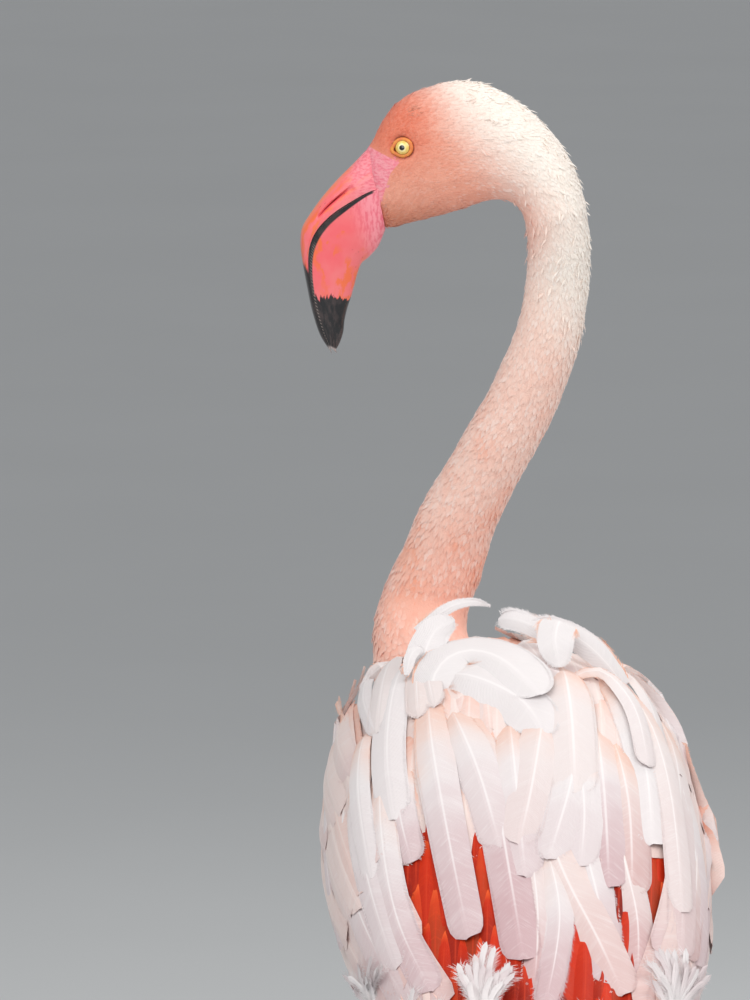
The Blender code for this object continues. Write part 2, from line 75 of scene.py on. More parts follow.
class Reading:
    # one socket of a node tree that can stand in sums
    def __init__(self, tree, socket):
        self.tree = tree
        self.socket = socket

    def maths(self, operation, *parts):
        return self.tree.add("ShaderNodeMath", dict(operation=operation), parts)

    def __add__(self, other):
        return self.maths("ADD", self, other)

    def __sub__(self, other):
        return self.maths("SUBTRACT", self, other)

    def __rsub__(self, other):
        return self.maths("SUBTRACT", other, self)

    def __mul__(self, other):
        return self.maths("MULTIPLY", self, other)

    def __truediv__(self, other):
        return self.maths("DIVIDE", self, other)

    def __rtruediv__(self, other):
        return self.maths("DIVIDE", other, self)

    def __pow__(self, other):
        return self.maths("POWER", self, other)

    def __abs__(self):
        return self.maths("ABSOLUTE", self)

    __radd__ = __add__
    __rmul__ = __mul__

    def most(self, other):
        return self.maths("MAXIMUM", self, other)

    def wave(self):
        return self.maths("SINE", self)

    def between(self, low, high):
        # 0 below low, 1 above high, and a smooth turn between them
        settings = dict(interpolation_type="SMOOTHSTEP")
        return self.tree.add("ShaderNodeMapRange", settings, [self, low, high, 0.0, 1.0])

    def hill(self, middle, reach):
        # 1 at the middle, falling smoothly to 0 at reach from it
        return 1 - abs(self - middle).between(0.0, reach)

    def part(self, index):
        return self.tree.add("ShaderNodeSeparateXYZ", {}, [self], out=index)


class Tree:
    def __init__(self, nodes):
        self.nodes = nodes

    def add(self, kind, settings=(), sockets=(), out=0):
        node = self.nodes.nodes.new(kind)
        for name, value in dict(settings).items():
            setattr(node, name, value)
        pairs = sockets.items() if isinstance(sockets, dict) else enumerate(sockets)
        for key, value in pairs:
            if isinstance(value, Reading):
                self.nodes.links.new(value.socket, node.inputs[key])
            else:
                node.inputs[key].default_value = value
        return Reading(self, node.outputs[out])


class Paint(Tree):
    # one material, with a Principled shader at its end
    def __init__(self, name, **always):
        self.material = bpy.data.materials.new(name)
        self.material.use_nodes = True
        super().__init__(self.material.node_tree)
        self.shader = self.nodes.nodes["Principled BSDF"]
        for socket, value in always.items():
            self.shader.inputs[socket.replace("_", " ")].default_value = value
        self.place = self.add("ShaderNodeTexCoord", {}, [], out=3)

    def mark(self, name, out=2):
        return self.add("ShaderNodeAttribute", dict(attribute_name=name), [], out=out)

    def markVector(self, name):
        return self.mark(name, out=1)

    def mix(self, share, first, second, blend="MIX"):
        first, second = (c if isinstance(c, Reading) else (*c, 1) for c in (first, second))
        settings = dict(data_type="RGBA", blend_type=blend, clamp_factor=True)
        return self.add("ShaderNodeMix", settings, {0: share, 6: first, 7: second}, out=2)

    def noise(self, scale, detail=2.0, where=None, rough=0.5):
        sockets = {"Vector": where or self.place, "Scale": scale, "Detail": detail, "Roughness": rough}
        return self.add("ShaderNodeTexNoise", {}, sockets)

    def cells(self, scale, where=None, feature="F1", uneven=1.0):
        sockets = {"Vector": where or self.place, "Scale": scale, "Randomness": uneven}
        return self.add("ShaderNodeTexVoronoi", dict(feature=feature), sockets)

    def vector(self, *parts):
        return self.add("ShaderNodeCombineXYZ", {}, parts)

    def vectorMaths(self, operation, *parts, out=0):
        return self.add("ShaderNodeVectorMath", dict(operation=operation), parts, out=out)

    def stretch(self, amounts, where=None):
        return self.vectorMaths("MULTIPLY", where or self.place, amounts)

    def feed(self, socket, value):
        self.nodes.links.new(value.socket, self.shader.inputs[socket])

    def colour(self, value):
        self.feed("Base Color", value)

    def bump(self, height, depth, strength=1.0):
        sockets = {"Strength": strength, "Distance": depth, "Height": height}
        self.feed("Normal", self.add("ShaderNodeBump", {}, sockets))


# Body forms, repeated from the solids: distance forward, level, half width, rise and drop, in millimetres

form = dict(
    trunk=[
        (188, 752, 14, 15, 17), (180, 752, 32, 34, 40), (160, 752, 58, 58, 70), (130, 752, 77, 78, 100),
        (90, 750, 92, 95, 123), (40, 745, 99, 106, 138), (-10, 740, 102, 105, 135), (-60, 731, 98, 89, 113),
        (-105, 719, 83, 66, 84), (-145, 706, 60, 45, 54), (-180, 695, 36, 27, 29), (-200, 689, 16, 12, 13),
    ],
    coverEnd=[
        (-60, 734, 102, 91, 130), (-110, 725, 100, 72, 110), (-160, 713, 94, 53, 90),
        (-210, 700, 83, 36, 70), (-255, 689, 70, 25, 50), (-300, 678, 56, 16, 36),
    ],
    backSquare=2.5,
    bellySquare=2.0,
    yaw=radians(3.5),
    shift=(2.3, 33.0),
    # line up the neck: across, forward and up
    neck=[
        (-14, 118, 742), (-32, 151, 774), (-48, 180, 804), (-57, 200, 830), (-54, 209, 855), (-46, 204, 881),
        (-37, 194, 907), (-24, 182, 933), (-10, 170, 960), (3, 160, 986), (17, 147, 1024), (22, 140, 1050),
        (24.5, 134, 1075), (23, 127, 1096), (17.8, 125, 1115), (7, 125, 1131), (-12.5, 125, 1142),
        (-33.5, 125, 1144.5), (-53.5, 125, 1140), (-68.5, 125, 1134), (-84.7, 125, 1118),
    ],
    stance=(10.3, 33.0),
)
form["cover"] = form["trunk"][1:7] + form["coverEnd"]  # the folded wings, from the shoulder to the tips


def through(rows, share):
    # numbers read off a smooth curve through the rows
    spans = len(rows) - 1
    at = min(max(share, 0.0), 1.0) * spans
    i = min(int(at), spans - 1)
    t = at - i
    near = [rows[min(max(k, 0), spans)] for k in (i - 1, i, i + 1, i + 2)]
    return [
        0.5 * (2 * b + (c - a) * t + (2 * a - 5 * b + 4 * c - d) * t**2 + (3 * b - a - 3 * c + d) * t**3)
        for a, b, c, d in zip(*near)
    ]


def signed(value, exponent):
    return (1 if value >= 0 else -1) * abs(value) ** exponent


def ramp(values, reach, low=0):
    # 0 up to nothing, 1 from reach on
    return np.clip(values / reach, low, 1)


def unit(vectors):
    return vectors / (np.linalg.norm(vectors, axis=-1, keepdims=True) + 1e-12)


def turned(vector):
    # a direction of the body forms in the model's frame
    return Matrix.Rotation(form["yaw"], 3, "Z") @ vector


def onForm(rows, share, angle, lift=0.0):
    # a point on a body form: angle 0 is the back's middle, positive to the right; lift in millimetres
    forward, level, wide, rise, drop = through(rows, share)
    above = cos(angle) >= 0
    high = rise if above else drop
    turn = 2 / (form["backSquare"] if above else form["bellySquare"])
    x, z = wide * signed(sin(angle), turn), high * signed(cos(angle), turn)
    out = Vector((x / wide**2, 0, z / high**2)).normalized()
    point = turned(Vector((x, forward, level + z)) + out * lift)
    return (point + Vector((*form["shift"], 0))) * mm


def formMiddle(rows, share):
    return np.array(onForm(rows, share, 0.0)) * 0.5 + np.array(onForm(rows, share, pi)) * 0.5


def gridFaces(rows, wide, ring=False, flip=False):
    # faces of a grid of points given row by row; a ring joins each row's last point to its first
    faces = []
    for r in range(rows - 1):
        for c in range(wide if ring else wide - 1):
            a, b = r * wide + c, r * wide + (c + 1) % wide
            faces.append((a, a + wide, b + wide, b) if flip else (a, b, b + wide, a + wide))
    return faces


def formSheet(rows, lift, around=72, along=64):
    # the whole form as a mesh to cast rays on
    points = [onForm(rows, r / (along - 1), 2 * pi * c / around, lift) for r in range(along) for c in range(around)]
    return BVHTree.FromPolygons(points, gridFaces(along, around, ring=True))


neckLine = (np.array(form["neck"][::-1], float) + np.array((*form["stance"], 0))) * mm  # from the bill to the breast
bodyLine = np.array([formMiddle(form["cover"], share) for share in np.linspace(0, 1, 9)])


def alongLine(points, line):
    # for each point: share along the line, its direction there and the nearest place on it
    starts, steps = line[:-1], line[1:] - line[:-1]
    lengths = np.linalg.norm(steps, axis=1)
    before = np.concatenate([[0], np.cumsum(lengths)])
    best = np.full(len(points), np.inf)
    share, heading, nearest = np.zeros(len(points)), np.zeros((len(points), 3)), np.zeros((len(points), 3))
    bends = np.gradient(line, axis=0)
    bends /= np.linalg.norm(bends, axis=1)[:, None]
    for i, (start, step) in enumerate(zip(starts, steps)):
        t = np.clip((points - start) @ step / lengths[i] ** 2, 0, 1)
        place = start + t[:, None] * step
        far = np.linalg.norm(points - place, axis=1)
        closer = far < best
        best[closer] = far[closer]
        share[closer] = (before[i] + t[closer] * lengths[i]) / before[-1]
        heading[closer] = bends[i] + t[closer, None] * (bends[i + 1] - bends[i])
        nearest[closer] = place[closer]
    return share, heading, nearest


laidFlat = dict(
    seam=np.array([0.35, 0.9, 0.1]),  # the skin's map opens on this side of the line
    margin=0.01,
    span=0.975,
    tuft=0.003,  # size of a tuft's patch on the map
    vane=np.array([0.004, 0.012]),  # and of a feather's
)


def unwrap(points, line):
    # the skin laid flat: angle round the line and distance along it
    share, heading, nearest = alongLine(points, line)
    out = points - nearest
    first = np.cross(heading, laidFlat["seam"])
    first /= np.linalg.norm(first, axis=1)[:, None]
    second = np.cross(heading, first)
    angle = np.arctan2((out * first).sum(1), (out * second).sum(1))
    margin, span = laidFlat["margin"], laidFlat["span"]
    return np.stack([margin + span * (angle / (2 * pi) + 0.5), margin + span * share], 1)


# Meshes and pieces

def makeMesh(name, points, faces, smooth=True):
    mesh = bpy.data.meshes.new(name)
    mesh.from_pydata([tuple(p) for p in points], [], faces)
    mesh.update()
    if smooth:
        mesh.shade_smooth()
    return mesh


def makeObject(name, mesh):
    piece = bpy.data.objects.new(name, mesh)
    bpy.context.scene.collection.objects.link(piece)
    return piece


def opened(mesh):
    bm = bmesh.new()
    bm.from_mesh(mesh)
    return bm


def written(bm, mesh):
    bm.to_mesh(mesh)
    bm.free()
    return mesh


def swapMesh(piece, mesh):
    old, piece.data = piece.data, mesh
    bpy.data.meshes.remove(old)


def setMark(mesh, name, values):
    # a mark on each point: numbers, or vectors where the values come in threes
    values = np.asarray(values, np.float32)
    attribute = mesh.attributes.new(name, "FLOAT_VECTOR" if values.ndim == 2 else "FLOAT", "POINT")
    attribute.data.foreach_set("vector" if values.ndim == 2 else "value", values.ravel())


def readAll(items, key, width=1, kind=np.float32):
    values = np.zeros(len(items) * width, kind)
    items.foreach_get(key, values)
    return values.reshape(-1, width) if width > 1 else values


def bakeMap(mesh, line, size):
    # each tuft's patch on the unwrapped skin, at its root
    corners = readAll(mesh.loops, "vertex_index", kind=np.int32)
    roots, leaves = (readAll(mesh.attributes[name].data, "vector", 3) for name in ("root", "leaf"))
    laid = unwrap(roots.astype(float), line) + leaves[:, :2] * size
    flat = mesh.uv_layers.new(name="OFBake")
    flat.data.foreach_set("uv", laid[corners].astype(np.float32).ravel())


def settled(piece):
    # the piece as its modifiers leave it, as a plain mesh
    graph = bpy.context.evaluated_depsgraph_get()
    mesh = bpy.data.meshes.new_from_object(piece.evaluated_get(graph), preserve_all_data_layers=True, depsgraph=graph)
    piece.modifiers.clear()
    swapMesh(piece, mesh)
    mesh.name = piece.name
    return piece


def finishPiece(piece, slot, *replaced):
    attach(piece, "root")
    if replaced:
        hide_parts(*replaced)
    faces = sum(len(face.vertices) - 2 for face in piece.data.polygons)
    print(f"{piece.name}: {faces} triangles")


def nodeCopies(names, grow=0.0):
    # merged copies of solids in one mesh, each grown a little so that they meet
    joined = bmesh.new()
    for name in names:
        copy = opened(cadNodes[name].data)
        bmesh.ops.remove_doubles(copy, verts=copy.verts, dist=0.02 * mm)
        copy.normal_update()
        moves = [(vert, vert.normal * grow) for vert in copy.verts]
        for vert, move in moves:
            vert.co += move
        piece = written(copy, bpy.data.meshes.new(name))
        joined.from_mesh(piece)
        bpy.data.meshes.remove(piece)
    return joined


# Plumage colours, shared by skin and coat

plumage = dict(
    cream=(0.95, 0.88, 0.8),
    salmon=(0.77, 0.2, 0.115),
    peach=(0.86, 0.38, 0.27),
    # the throat's brownish orange, darkened as painted shade under the chin
    throat=(0.6, 0.19, 0.09),
    smudge=(0.3, 0.13, 0.08),
    lores=(0.86, 0.2, 0.27),
    loresFold=(0.93, 0.36, 0.42),
    neckHigh=(0.97, 0.74, 0.64),
    neckMiddle=(0.97, 0.67, 0.57),
    neckLow=(0.92, 0.49, 0.38),
    blotch=(0.92, 0.36, 0.22),
    breast=(0.93, 0.7, 0.63),
    belly=(0.93, 0.84, 0.81),
    coral=(0.78, 0.075, 0.02),
)
# from where to where one colour gives way to the next, in metres, on the line that plumageColour gives
borders = dict(
    neckMiddle=(0.84, 0.95),
    neckHigh=(0.97, 1.07),
    blotchEnd=(0.88, 1.06),
    nape=(0.45, 0.492),
    napeRise=(0.96, 1.08),
    breast=(0.62, 0.8),
    front=(0.1, 0.23),
    frontRise=(0.7, 0.8),
    rear=(-0.09, -0.03),
    rearRise=(0.69, 0.715),
    neckRoot=(0.765, 0.8),
    head=(1.04, 1.1),
    face=(-0.034, 0.03),
    forehead=(0.006, 0.047),
    throat=(1.086, 1.112),
    throatEnd=(-0.02, 0.012),
    smudge=(0.0012, 0.0045),
    bare=(-0.0003, 0.0007),
    bareRise=(1.07, 1.08),
)
foreheadAt, smudgeAt = (-0.068, 1.157), (-0.0535, 1.1655)  # across and up


def headLine(x, z):
    # grows from the neck into the head; for numbers and sockets alike
    return z - x * 0.9


def away(place, x, z):
    # distance as seen from the side, so that both cheeks match
    aside, rise = place.part(0) - x, place.part(2) - z
    return (aside * aside + rise * rise) ** 0.5


def bareFace(x, z):
    # above nothing on the bare skin between the bill and the eye; for numbers and sockets alike
    rise = z - 1.1294
    front = (abs(rise) + rise) * 0.41 - (abs(rise) - rise) * 0.16 - 0.0667 - x
    brow = 1.1437 - (x + 0.0786) * 0.445 - z
    return (front + brow - abs(front - brow)) * 0.5


def plumageColour(paint, place):
    # cream crown and nape, salmon face, pink neck that deepens downwards, pale body, coral behind
    x, y, z = (place.part(i) for i in range(3))
    c, b = plumage, borders
    blotches = paint.noise(46.0, 3.0, place).between(0.47, 0.68)
    neck = paint.mix(z.between(*b["neckMiddle"]), c["neckLow"], c["neckMiddle"])
    neck = paint.mix(z.between(*b["neckHigh"]), neck, c["neckHigh"])
    neck = paint.mix(blotches * (1 - z.between(*b["blotchEnd"])) * 0.6, neck, c["blotch"])
    nape = (x + z * 0.42).between(*b["nape"])
    neck = paint.mix(nape * z.between(*b["napeRise"]), neck, c["cream"])
    body = paint.mix(z.between(*b["breast"]), c["belly"], c["breast"])
    body = paint.mix(y.between(*b["front"]) * z.between(*b["frontRise"]), body, c["neckLow"])
    rear = (1 - y.between(*b["rear"])) * (z - y * 0.1).between(*b["rearRise"])
    body = paint.mix(rear, body, c["coral"])
    colour = paint.mix((z - y * 0.35).between(*b["neckRoot"]), body, neck)
    cloud = paint.noise(60.0, 3.0, place) * 0.014 - 0.007
    face = paint.mix((x + (z - 1.13) * 0.9 + cloud * 0.7).between(*b["face"]), c["peach"], c["cream"])
    front = away(place, *foreheadAt) + cloud
    face = paint.mix((1 - front.between(*b["forehead"])) ** 1.25, face, c["salmon"])
    # under the chin the face turns brownish: partly its own colour, partly painted shade
    under = (1 - (z + x * 0.1 + cloud * 0.4).between(*b["throat"])) * (1 - x.between(*b["throatEnd"]))
    face = paint.mix(under * 0.75, face, c["throat"])
    dark = paint.noise(420.0, 3.0, paint.stretch((1.0, 1.0, 2.2), place)).between(0.42, 0.6)
    face = paint.mix((1 - away(place, *smudgeAt).between(*b["smudge"])) * dark * 0.7, face, c["smudge"])
    colour = paint.mix(headLine(x, z).between(*b["head"]), colour, face)
    bare = bareFace(x, z).between(*b["bare"]) * z.between(*b["bareRise"])
    folds = paint.noise(520.0, 3.0, paint.stretch((0.5, 1.0, 1.6), place)).between(0.35, 0.65)
    return paint.mix(bare, colour, paint.mix(folds, c["lores"], c["loresFold"]))


# Skin: one surface from the bill's root to the toes, under the feathers by their depth

flesh = ("trunk", "rump", "neck_lower", "neck_middle", "neck_upper", "head")
legParts = ("shank", "ankle", "tarsus", "foot", "hind_toe")
skinSizes = dict(
    grid=3.3 * mm,
    legGrid=1.5 * mm,
    grow=0.45 * mm,  # how much the solids grow to meet
    legGrow=0.28 * mm,
    fineFrom=1.06,  # the head's surface is finer above this
    depth=dict(face=0.4 * mm, head=0.7 * mm, neck=1.2 * mm, body=3.0 * mm, thigh=2.4 * mm),
    stub=14 * mm,  # how far a bare leg runs up into its thigh
    tuck=2.4 * mm,
    tuckWay=(0.982, 0, 0.187),
    spread=(4.6 * mm, 2.8 * mm),
    neckMiddle=((0.80, 0.83, 0.86, 0.88, 0.91, 0.94), (-0.038, -0.047, -0.0435, -0.036, -0.0265, -0.014)),
)
lid = dict(
    ring=5.7 * mm,
    thick=0.95 * mm,
    out=4.15 * mm,  # from the eye's middle
    corner=radians(18),  # how far the front corner is turned up
    drawn=0.28,  # how far it is drawn out
    around=48,
    rings=10,
)


def remeshed(name, bm, grid, smoothing):
    piece = makeObject(name, written(bm, bpy.data.meshes.new(name)))
    voxels = piece.modifiers.new("grid", "REMESH")
    voxels.mode = "VOXEL"
    voxels.voxel_size = grid
    voxels.use_smooth_shade = True
    soften = piece.modifiers.new("soften", "SMOOTH")
    soften.factor = 0.5
    soften.iterations = smoothing
    return settled(piece)


def shapeSkin(points, normals):
    # draws the surface in under the feathers, tucks the face under the bill and spreads the neck at its base
    depth = skinSizes["depth"]
    x, y, z = points.T
    headward = ramp(headLine(x, z) - 1.02, 0.06)
    faceward = ramp(-0.045 - x, 0.02) * headward
    bodyward = ramp(0.84 - z + y * 0.12, 0.05)
    thighward = ramp(0.64 - z, 0.03)
    inwards = depth["neck"] + (depth["head"] - depth["neck"]) * headward
    inwards += (depth["face"] - depth["head"]) * faceward
    inwards += (depth["body"] - depth["neck"]) * bodyward
    inwards += (depth["thigh"] - depth["body"]) * thighward
    inwards *= ramp(z - 0.534, 0.03, low=0.15)
    points -= normals * inwards[:, None]
    behind = x + 0.0792 - (1.143 - z) * 0.19
    tucked = skinSizes["tuck"] * np.clip(1 - behind / 0.0035, 0, 1) * (z > 1.06)
    points -= np.outer(tucked, skinSizes["tuckWay"])
    middle = np.interp(z, *skinSizes["neckMiddle"])
    rising = ramp(z - 0.77, 0.03) * (y > 0.1)
    left = ramp(0.89 - z, 0.04) * ramp(middle - x, 0.02) * rising
    right = np.clip(1 - abs(z - 0.872) / 0.06, 0, 1) * ramp(x - middle, 0.02) * rising
    points[:, 0] += skinSizes["spread"][1] * right - skinSizes["spread"][0] * left
    return points


def makeLegSkin(side):
    bare = nodeCopies([f"{name}_{side}" for name in legParts], skinSizes["legGrow"])
    top = max(vert.co.z for vert in bare.verts)
    for vert in bare.verts:
        if vert.co.z > top - 2 * mm:
            vert.co.z += skinSizes["stub"]
            vert.co.y += skinSizes["stub"] * 0.15
    return remeshed(f"leg_skin_{side}", bare, skinSizes["legGrid"], 3)


def makeSkin():
    names = [*flesh, "thigh_left", "thigh_right"]
    body = remeshed("skin", nodeCopies(names, skinSizes["grow"]), skinSizes["grid"], 6)
    bm = opened(body.data)
    fine = [e for e in bm.edges if all(headLine(v.co.x, v.co.z) > skinSizes["fineFrom"] for v in e.verts)]
    bmesh.ops.subdivide_edges(bm, edges=fine, cuts=1, use_grid_fill=True, smooth=0.6)
    bmesh.ops.triangulate(bm, faces=[face for face in bm.faces if len(face.verts) > 4])
    bm.normal_update()
    places = shapeSkin(np.array([v.co for v in bm.verts]), np.array([v.normal for v in bm.verts]))
    for vert, place in zip(bm.verts, places):
        vert.co = place
    joined = opened(written(bm, body.data))
    for face in joined.faces:
        face.material_index = 0
    for leg in [makeLegSkin(side) for side in sides]:
        start = len(joined.faces)
        joined.from_mesh(leg.data)
        joined.faces.ensure_lookup_table()
        for face in joined.faces[start:]:
            face.material_index = 1
        bpy.data.objects.remove(leg)
    for side in sides:
        addLid(joined, side)
    mesh = written(joined, bpy.data.meshes.new("skin"))
    mesh.shade_smooth()
    swapMesh(body, mesh)
    for paint in (paintSkin(), paintLegs(), paintLids()):
        mesh.materials.append(paint.material)
    return body


def eyeFrame(side):
    # where an eye sits: its middle, and the way that it looks
    low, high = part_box(f"eye_{side}")
    outward = Vector((-0.16, -1 if side == "left" else 1, 0.06)).normalized()
    return (low + high) / 2, outward


def addLid(bm, side):
    # a rounded rim of bare skin round the eye, drawn out to a point at its front corner
    middle, outward = eyeFrame(side)
    across = outward.cross(Vector((0, 0, 1))).normalized()
    across = -across if across.x > 0 else across
    upward = across.cross(outward).normalized()
    upward = upward if upward.z > 0 else -upward
    grid = []
    for i in range(lid["around"]):
        a = 2 * pi * i / lid["around"]
        corner = max(0.0, cos(a - lid["corner"])) ** 12
        reach = lid["ring"] * (0.9 + lid["drawn"] * corner)
        ahead = across * cos(a) - upward * sin(a) * 0.95
        row = []
        for j in range(lid["rings"]):
            b = 2 * pi * j / lid["rings"]
            place = middle + outward * (lid["out"] + lid["thick"] * sin(b))
            row.append(bm.verts.new(place + ahead * (reach + lid["thick"] * 1.35 * cos(b))))
        grid.append(row)
    made = []
    for i in range(lid["around"]):
        for j in range(lid["rings"]):
            corners = (grid[i][j], grid[i - 1][j], grid[i - 1][j - 1], grid[i][j - 1])
            made.append(bm.faces.new(corners))
    for face in made:
        face.material_index = 2
    bmesh.ops.recalc_face_normals(bm, faces=made)


def paintSkin():
    paint = Paint("plumage_skin", Roughness=0.75)
    colour = plumageColour(paint, paint.place)
    fine = paint.noise(900.0, 2.0)
    paint.colour(paint.mix(fine.between(0.3, 0.7) * 0.14, colour, (0.8, 0.4, 0.3)))
    paint.bump(fine, 0.4 * mm)
    return paint


legColours = dict(
    # groove is painted shade for the grooves between the scales
    light=(0.86, 0.42, 0.4), deep=(0.8, 0.27, 0.27), joint=(0.72, 0.15, 0.16), groove=(0.42, 0.13, 0.12),
    dust=(0.5, 0.4, 0.34), ankle=(0.337, 0.05), foot=(0.012, 0.03), dusty=(0.0, 0.09),
)


def paintLegs():
    # pink scaled skin: broad scutes down the front, small round scales elsewhere, redder at the joints, with painted
    # shade in the grooves between them
    c = legColours
    paint = Paint("bare_leg_skin", Roughness=0.46, Specular_IOR_Level=0.45)
    z = paint.place.part(2)
    scales = paint.cells(520.0, paint.stretch((1.0, 1.0, 0.8)), "DISTANCE_TO_EDGE")
    grooves = 1 - scales.between(0.0, 0.16)
    scutes = paint.cells(150.0, paint.stretch((0.15, 0.15, 1.0)), "DISTANCE_TO_EDGE", 0.25)
    bands = 1 - scutes.between(0.0, 0.06)
    colour = paint.mix(paint.noise(38.0, 4.0).between(0.35, 0.7), c["light"], c["deep"])
    joint = z.hill(*c["ankle"]).most(z.hill(*c["foot"]))
    colour = paint.mix(joint * 0.7, colour, c["joint"])
    # painted shade in the grooves between the scales and between the scutes
    colour = paint.mix((grooves * 0.5).most(bands * 0.55), colour, c["groove"])
    dust = paint.noise(210.0, 3.0).between(0.55, 0.75) * (1 - z.between(*c["dusty"]))
    paint.colour(paint.mix(dust * 0.6, colour, c["dust"]))
    paint.feed("Roughness", 0.4 + grooves * 0.25)
    paint.bump(scales.between(0.0, 0.2) * 0.6 + scutes.between(0.0, 0.08), 0.5 * mm)
    return paint


def paintLids():
    paint = Paint("eyelid_skin", Roughness=0.5)
    tone = paint.noise(420.0, 3.0)
    paint.colour(paint.mix(tone.between(0.35, 0.65), (0.85, 0.33, 0.06), (0.78, 0.2, 0.06)))
    paint.bump(paint.noise(1500.0, 3.0), 0.3 * mm)
    return paint


skin = makeSkin()
finishPiece(skin, "pale_plumage", *flesh, *[f"{name}_{side}" for name in ("thigh", *legParts) for side in sides])


# Eyes: pale yellow iris, black pupil, dark rim

eye = dict(
    radius=5.9 * mm,
    iris=4.35 * mm,
    pupil=1.6 * mm,
    out=0.9 * mm,
    cornea=0.5 * mm,
    corneaReach=0.78,
    around=56,
    down=34,
    yellow=(0.93, 0.72, 0.2),
    ochre=(0.88, 0.6, 0.12),
    pale=(0.97, 0.87, 0.45),
    brown=(0.3, 0.13, 0.02),
    rim=(0.04, 0.02, 0.015),
    black=(0.004, 0.005, 0.007),
)


def makeEye(side):
    middle, outward = eyeFrame(side)
    turn = outward.to_track_quat("Z", "Y").to_matrix()
    around, down, radius = eye["around"], eye["down"], eye["radius"]
    points = []
    for i in range(1, down):
        a = pi * i / down
        # the cornea swells over the iris
        swell = 1 + eye["cornea"] / radius * max(0.0, 1 - (a / eye["corneaReach"]) ** 2)
        for j in range(around):
            b = 2 * pi * j / around
            points.append(Vector((sin(a) * cos(b), sin(a) * sin(b), cos(a))) * radius * swell)
    front, back, last = len(points), len(points) + 1, len(points) - around
    points += [Vector((0, 0, radius + eye["cornea"])), Vector((0, 0, -radius))]
    faces = gridFaces(down - 1, around, ring=True, flip=True)
    for j in range(around):
        k = (j + 1) % around
        faces += [(front, j, k), (back, last + k, last + j)]
    stand = middle + outward * eye["out"]
    mesh = makeMesh(f"eyeball_{side}", [turn @ p + stand for p in points], faces)
    mesh.materials.append(paintEye(side, stand, outward).material)
    finishPiece(makeObject(f"eyeball_{side}", mesh), "eye_surface", f"eye_{side}")


def paintEye(side, stand, outward):
    # rings round the line of sight
    paint = Paint(f"eye_{side}_surface", Roughness=0.08, Coat_Weight=1.0, Coat_Roughness=0.03)
    along = paint.vectorMaths("SUBTRACT", paint.place, tuple(stand))
    off = paint.vectorMaths("LENGTH", paint.vectorMaths("CROSS_PRODUCT", along, tuple(outward)), out=1)
    rays = paint.noise(700.0, 3.0, along)
    iris = paint.mix(rays.between(0.35, 0.65), eye["yellow"], eye["ochre"])
    iris = paint.mix(1 - off.between(eye["pupil"], eye["pupil"] + 1.4 * mm), iris, eye["pale"])
    iris = paint.mix(off.between(eye["iris"] - 0.7 * mm, eye["iris"]), iris, eye["brown"])
    iris = paint.mix(off.between(eye["iris"], eye["iris"] + 0.5 * mm), iris, eye["rim"])
    edge = off.between(eye["pupil"] - 0.12 * mm, eye["pupil"] + 0.12 * mm)
    paint.colour(paint.mix(edge, eye["black"], iris))
    return paint


for side in sides:
    makeEye(side)


# Bill: two horn halves on the solids' stations, with a nostril, a black cutting edge and wrinkled skin at the root

bill = dict(
    stations=[  # ridge, gape line and keel as across and up, then the half widths of the two halves, millimetres
        ((-90.0, 1143), (-85.4, 1119), (-80.5, 1093.5), 11.0, 12.6),
        ((-99.5, 1133), (-92.5, 1116), (-84.5, 1084), 10.8, 13.4),
        ((-109, 1123.5), (-102, 1110.5), (-90, 1077.5), 10.4, 13.6),
        ((-118, 1113), (-111, 1104.5), (-94.5, 1073.5), 10.2, 13.4),
        ((-125.5, 1102.5), (-118.4, 1097.5), (-97, 1067.5), 10.2, 12.8),
        ((-130, 1094.5), (-123.3, 1090), (-99, 1060), 10.0, 12.0),
        ((-131, 1085.5), (-125.8, 1081.5), (-101, 1053), 9.6, 11.2),
        ((-129.8, 1074.5), (-126, 1070), (-103.2, 1046), 9.0, 10.2),
        ((-127.2, 1060), (-124.4, 1057.5), (-104.8, 1039), 7.8, 8.8),
        ((-124, 1044.5), (-121.4, 1044), (-105.6, 1032), 6.2, 7.0),
        ((-119.5, 1030.5), (-117.6, 1031.5), (-107.6, 1025.6), 4.2, 4.6),
        ((-114, 1021.5), (-113.2, 1022.8), (-110, 1021.2), 2.0, 2.2),
    ],
    forward=125,
    rings=120,
    around=44,
    apart=0.12,
    root=-0.035,  # share by which the root runs on into the face
    rootStep=0.02,  # share over which its direction is read
    rootRun=11,
    nostril=(0.13, 0.35),  # from and to, as shares of the bill's length
    nostrilHeight=0.38,
    nostrilDeep=2.6,
    lip=0.048,  # height of the black edge, as a share of a half's side
    tipPast=((1.6, 0, -3.4), (1.6, 0, -2.6)),  # how far the points of the two halves run on
)
bill["flat"] = [(*ridge, *gape, *keel, up, down) for ridge, gape, keel, up, down in bill["stations"]]
horn = dict(
    pink=(0.93, 0.135, 0.155), paler=(0.93, 0.2, 0.21), orange=(0.93, 0.17, 0.03),
    skin=(0.82, 0.17, 0.24), skinFold=(0.95, 0.34, 0.4), fleck=(0.09, 0.015, 0.015),
    nostrilShade=(0.42, 0.005, 0.02), ridge=(0.93, 0.25, 0.1),
    black=(0.007, 0.007, 0.009), worn=(0.05, 0.035, 0.035), comb=(0.35, 0.28, 0.25), point=(0.42, 0.36, 0.35),
)


def billSection(share):
    # ridge, gape and keel as points, and the half widths; behind the root the bill runs straight on
    row = through(bill["flat"], share)
    if share < 0:
        row = [a + (b - a) * share * bill["rootRun"] for a, b in zip(row, through(bill["flat"], bill["rootStep"]))]
    across, forward = form["stance"]
    points = [Vector((x + across, bill["forward"] + forward, z)) for x, z in zip(row[0:6:2], row[1:6:2])]
    return (*points, row[6], row[7])


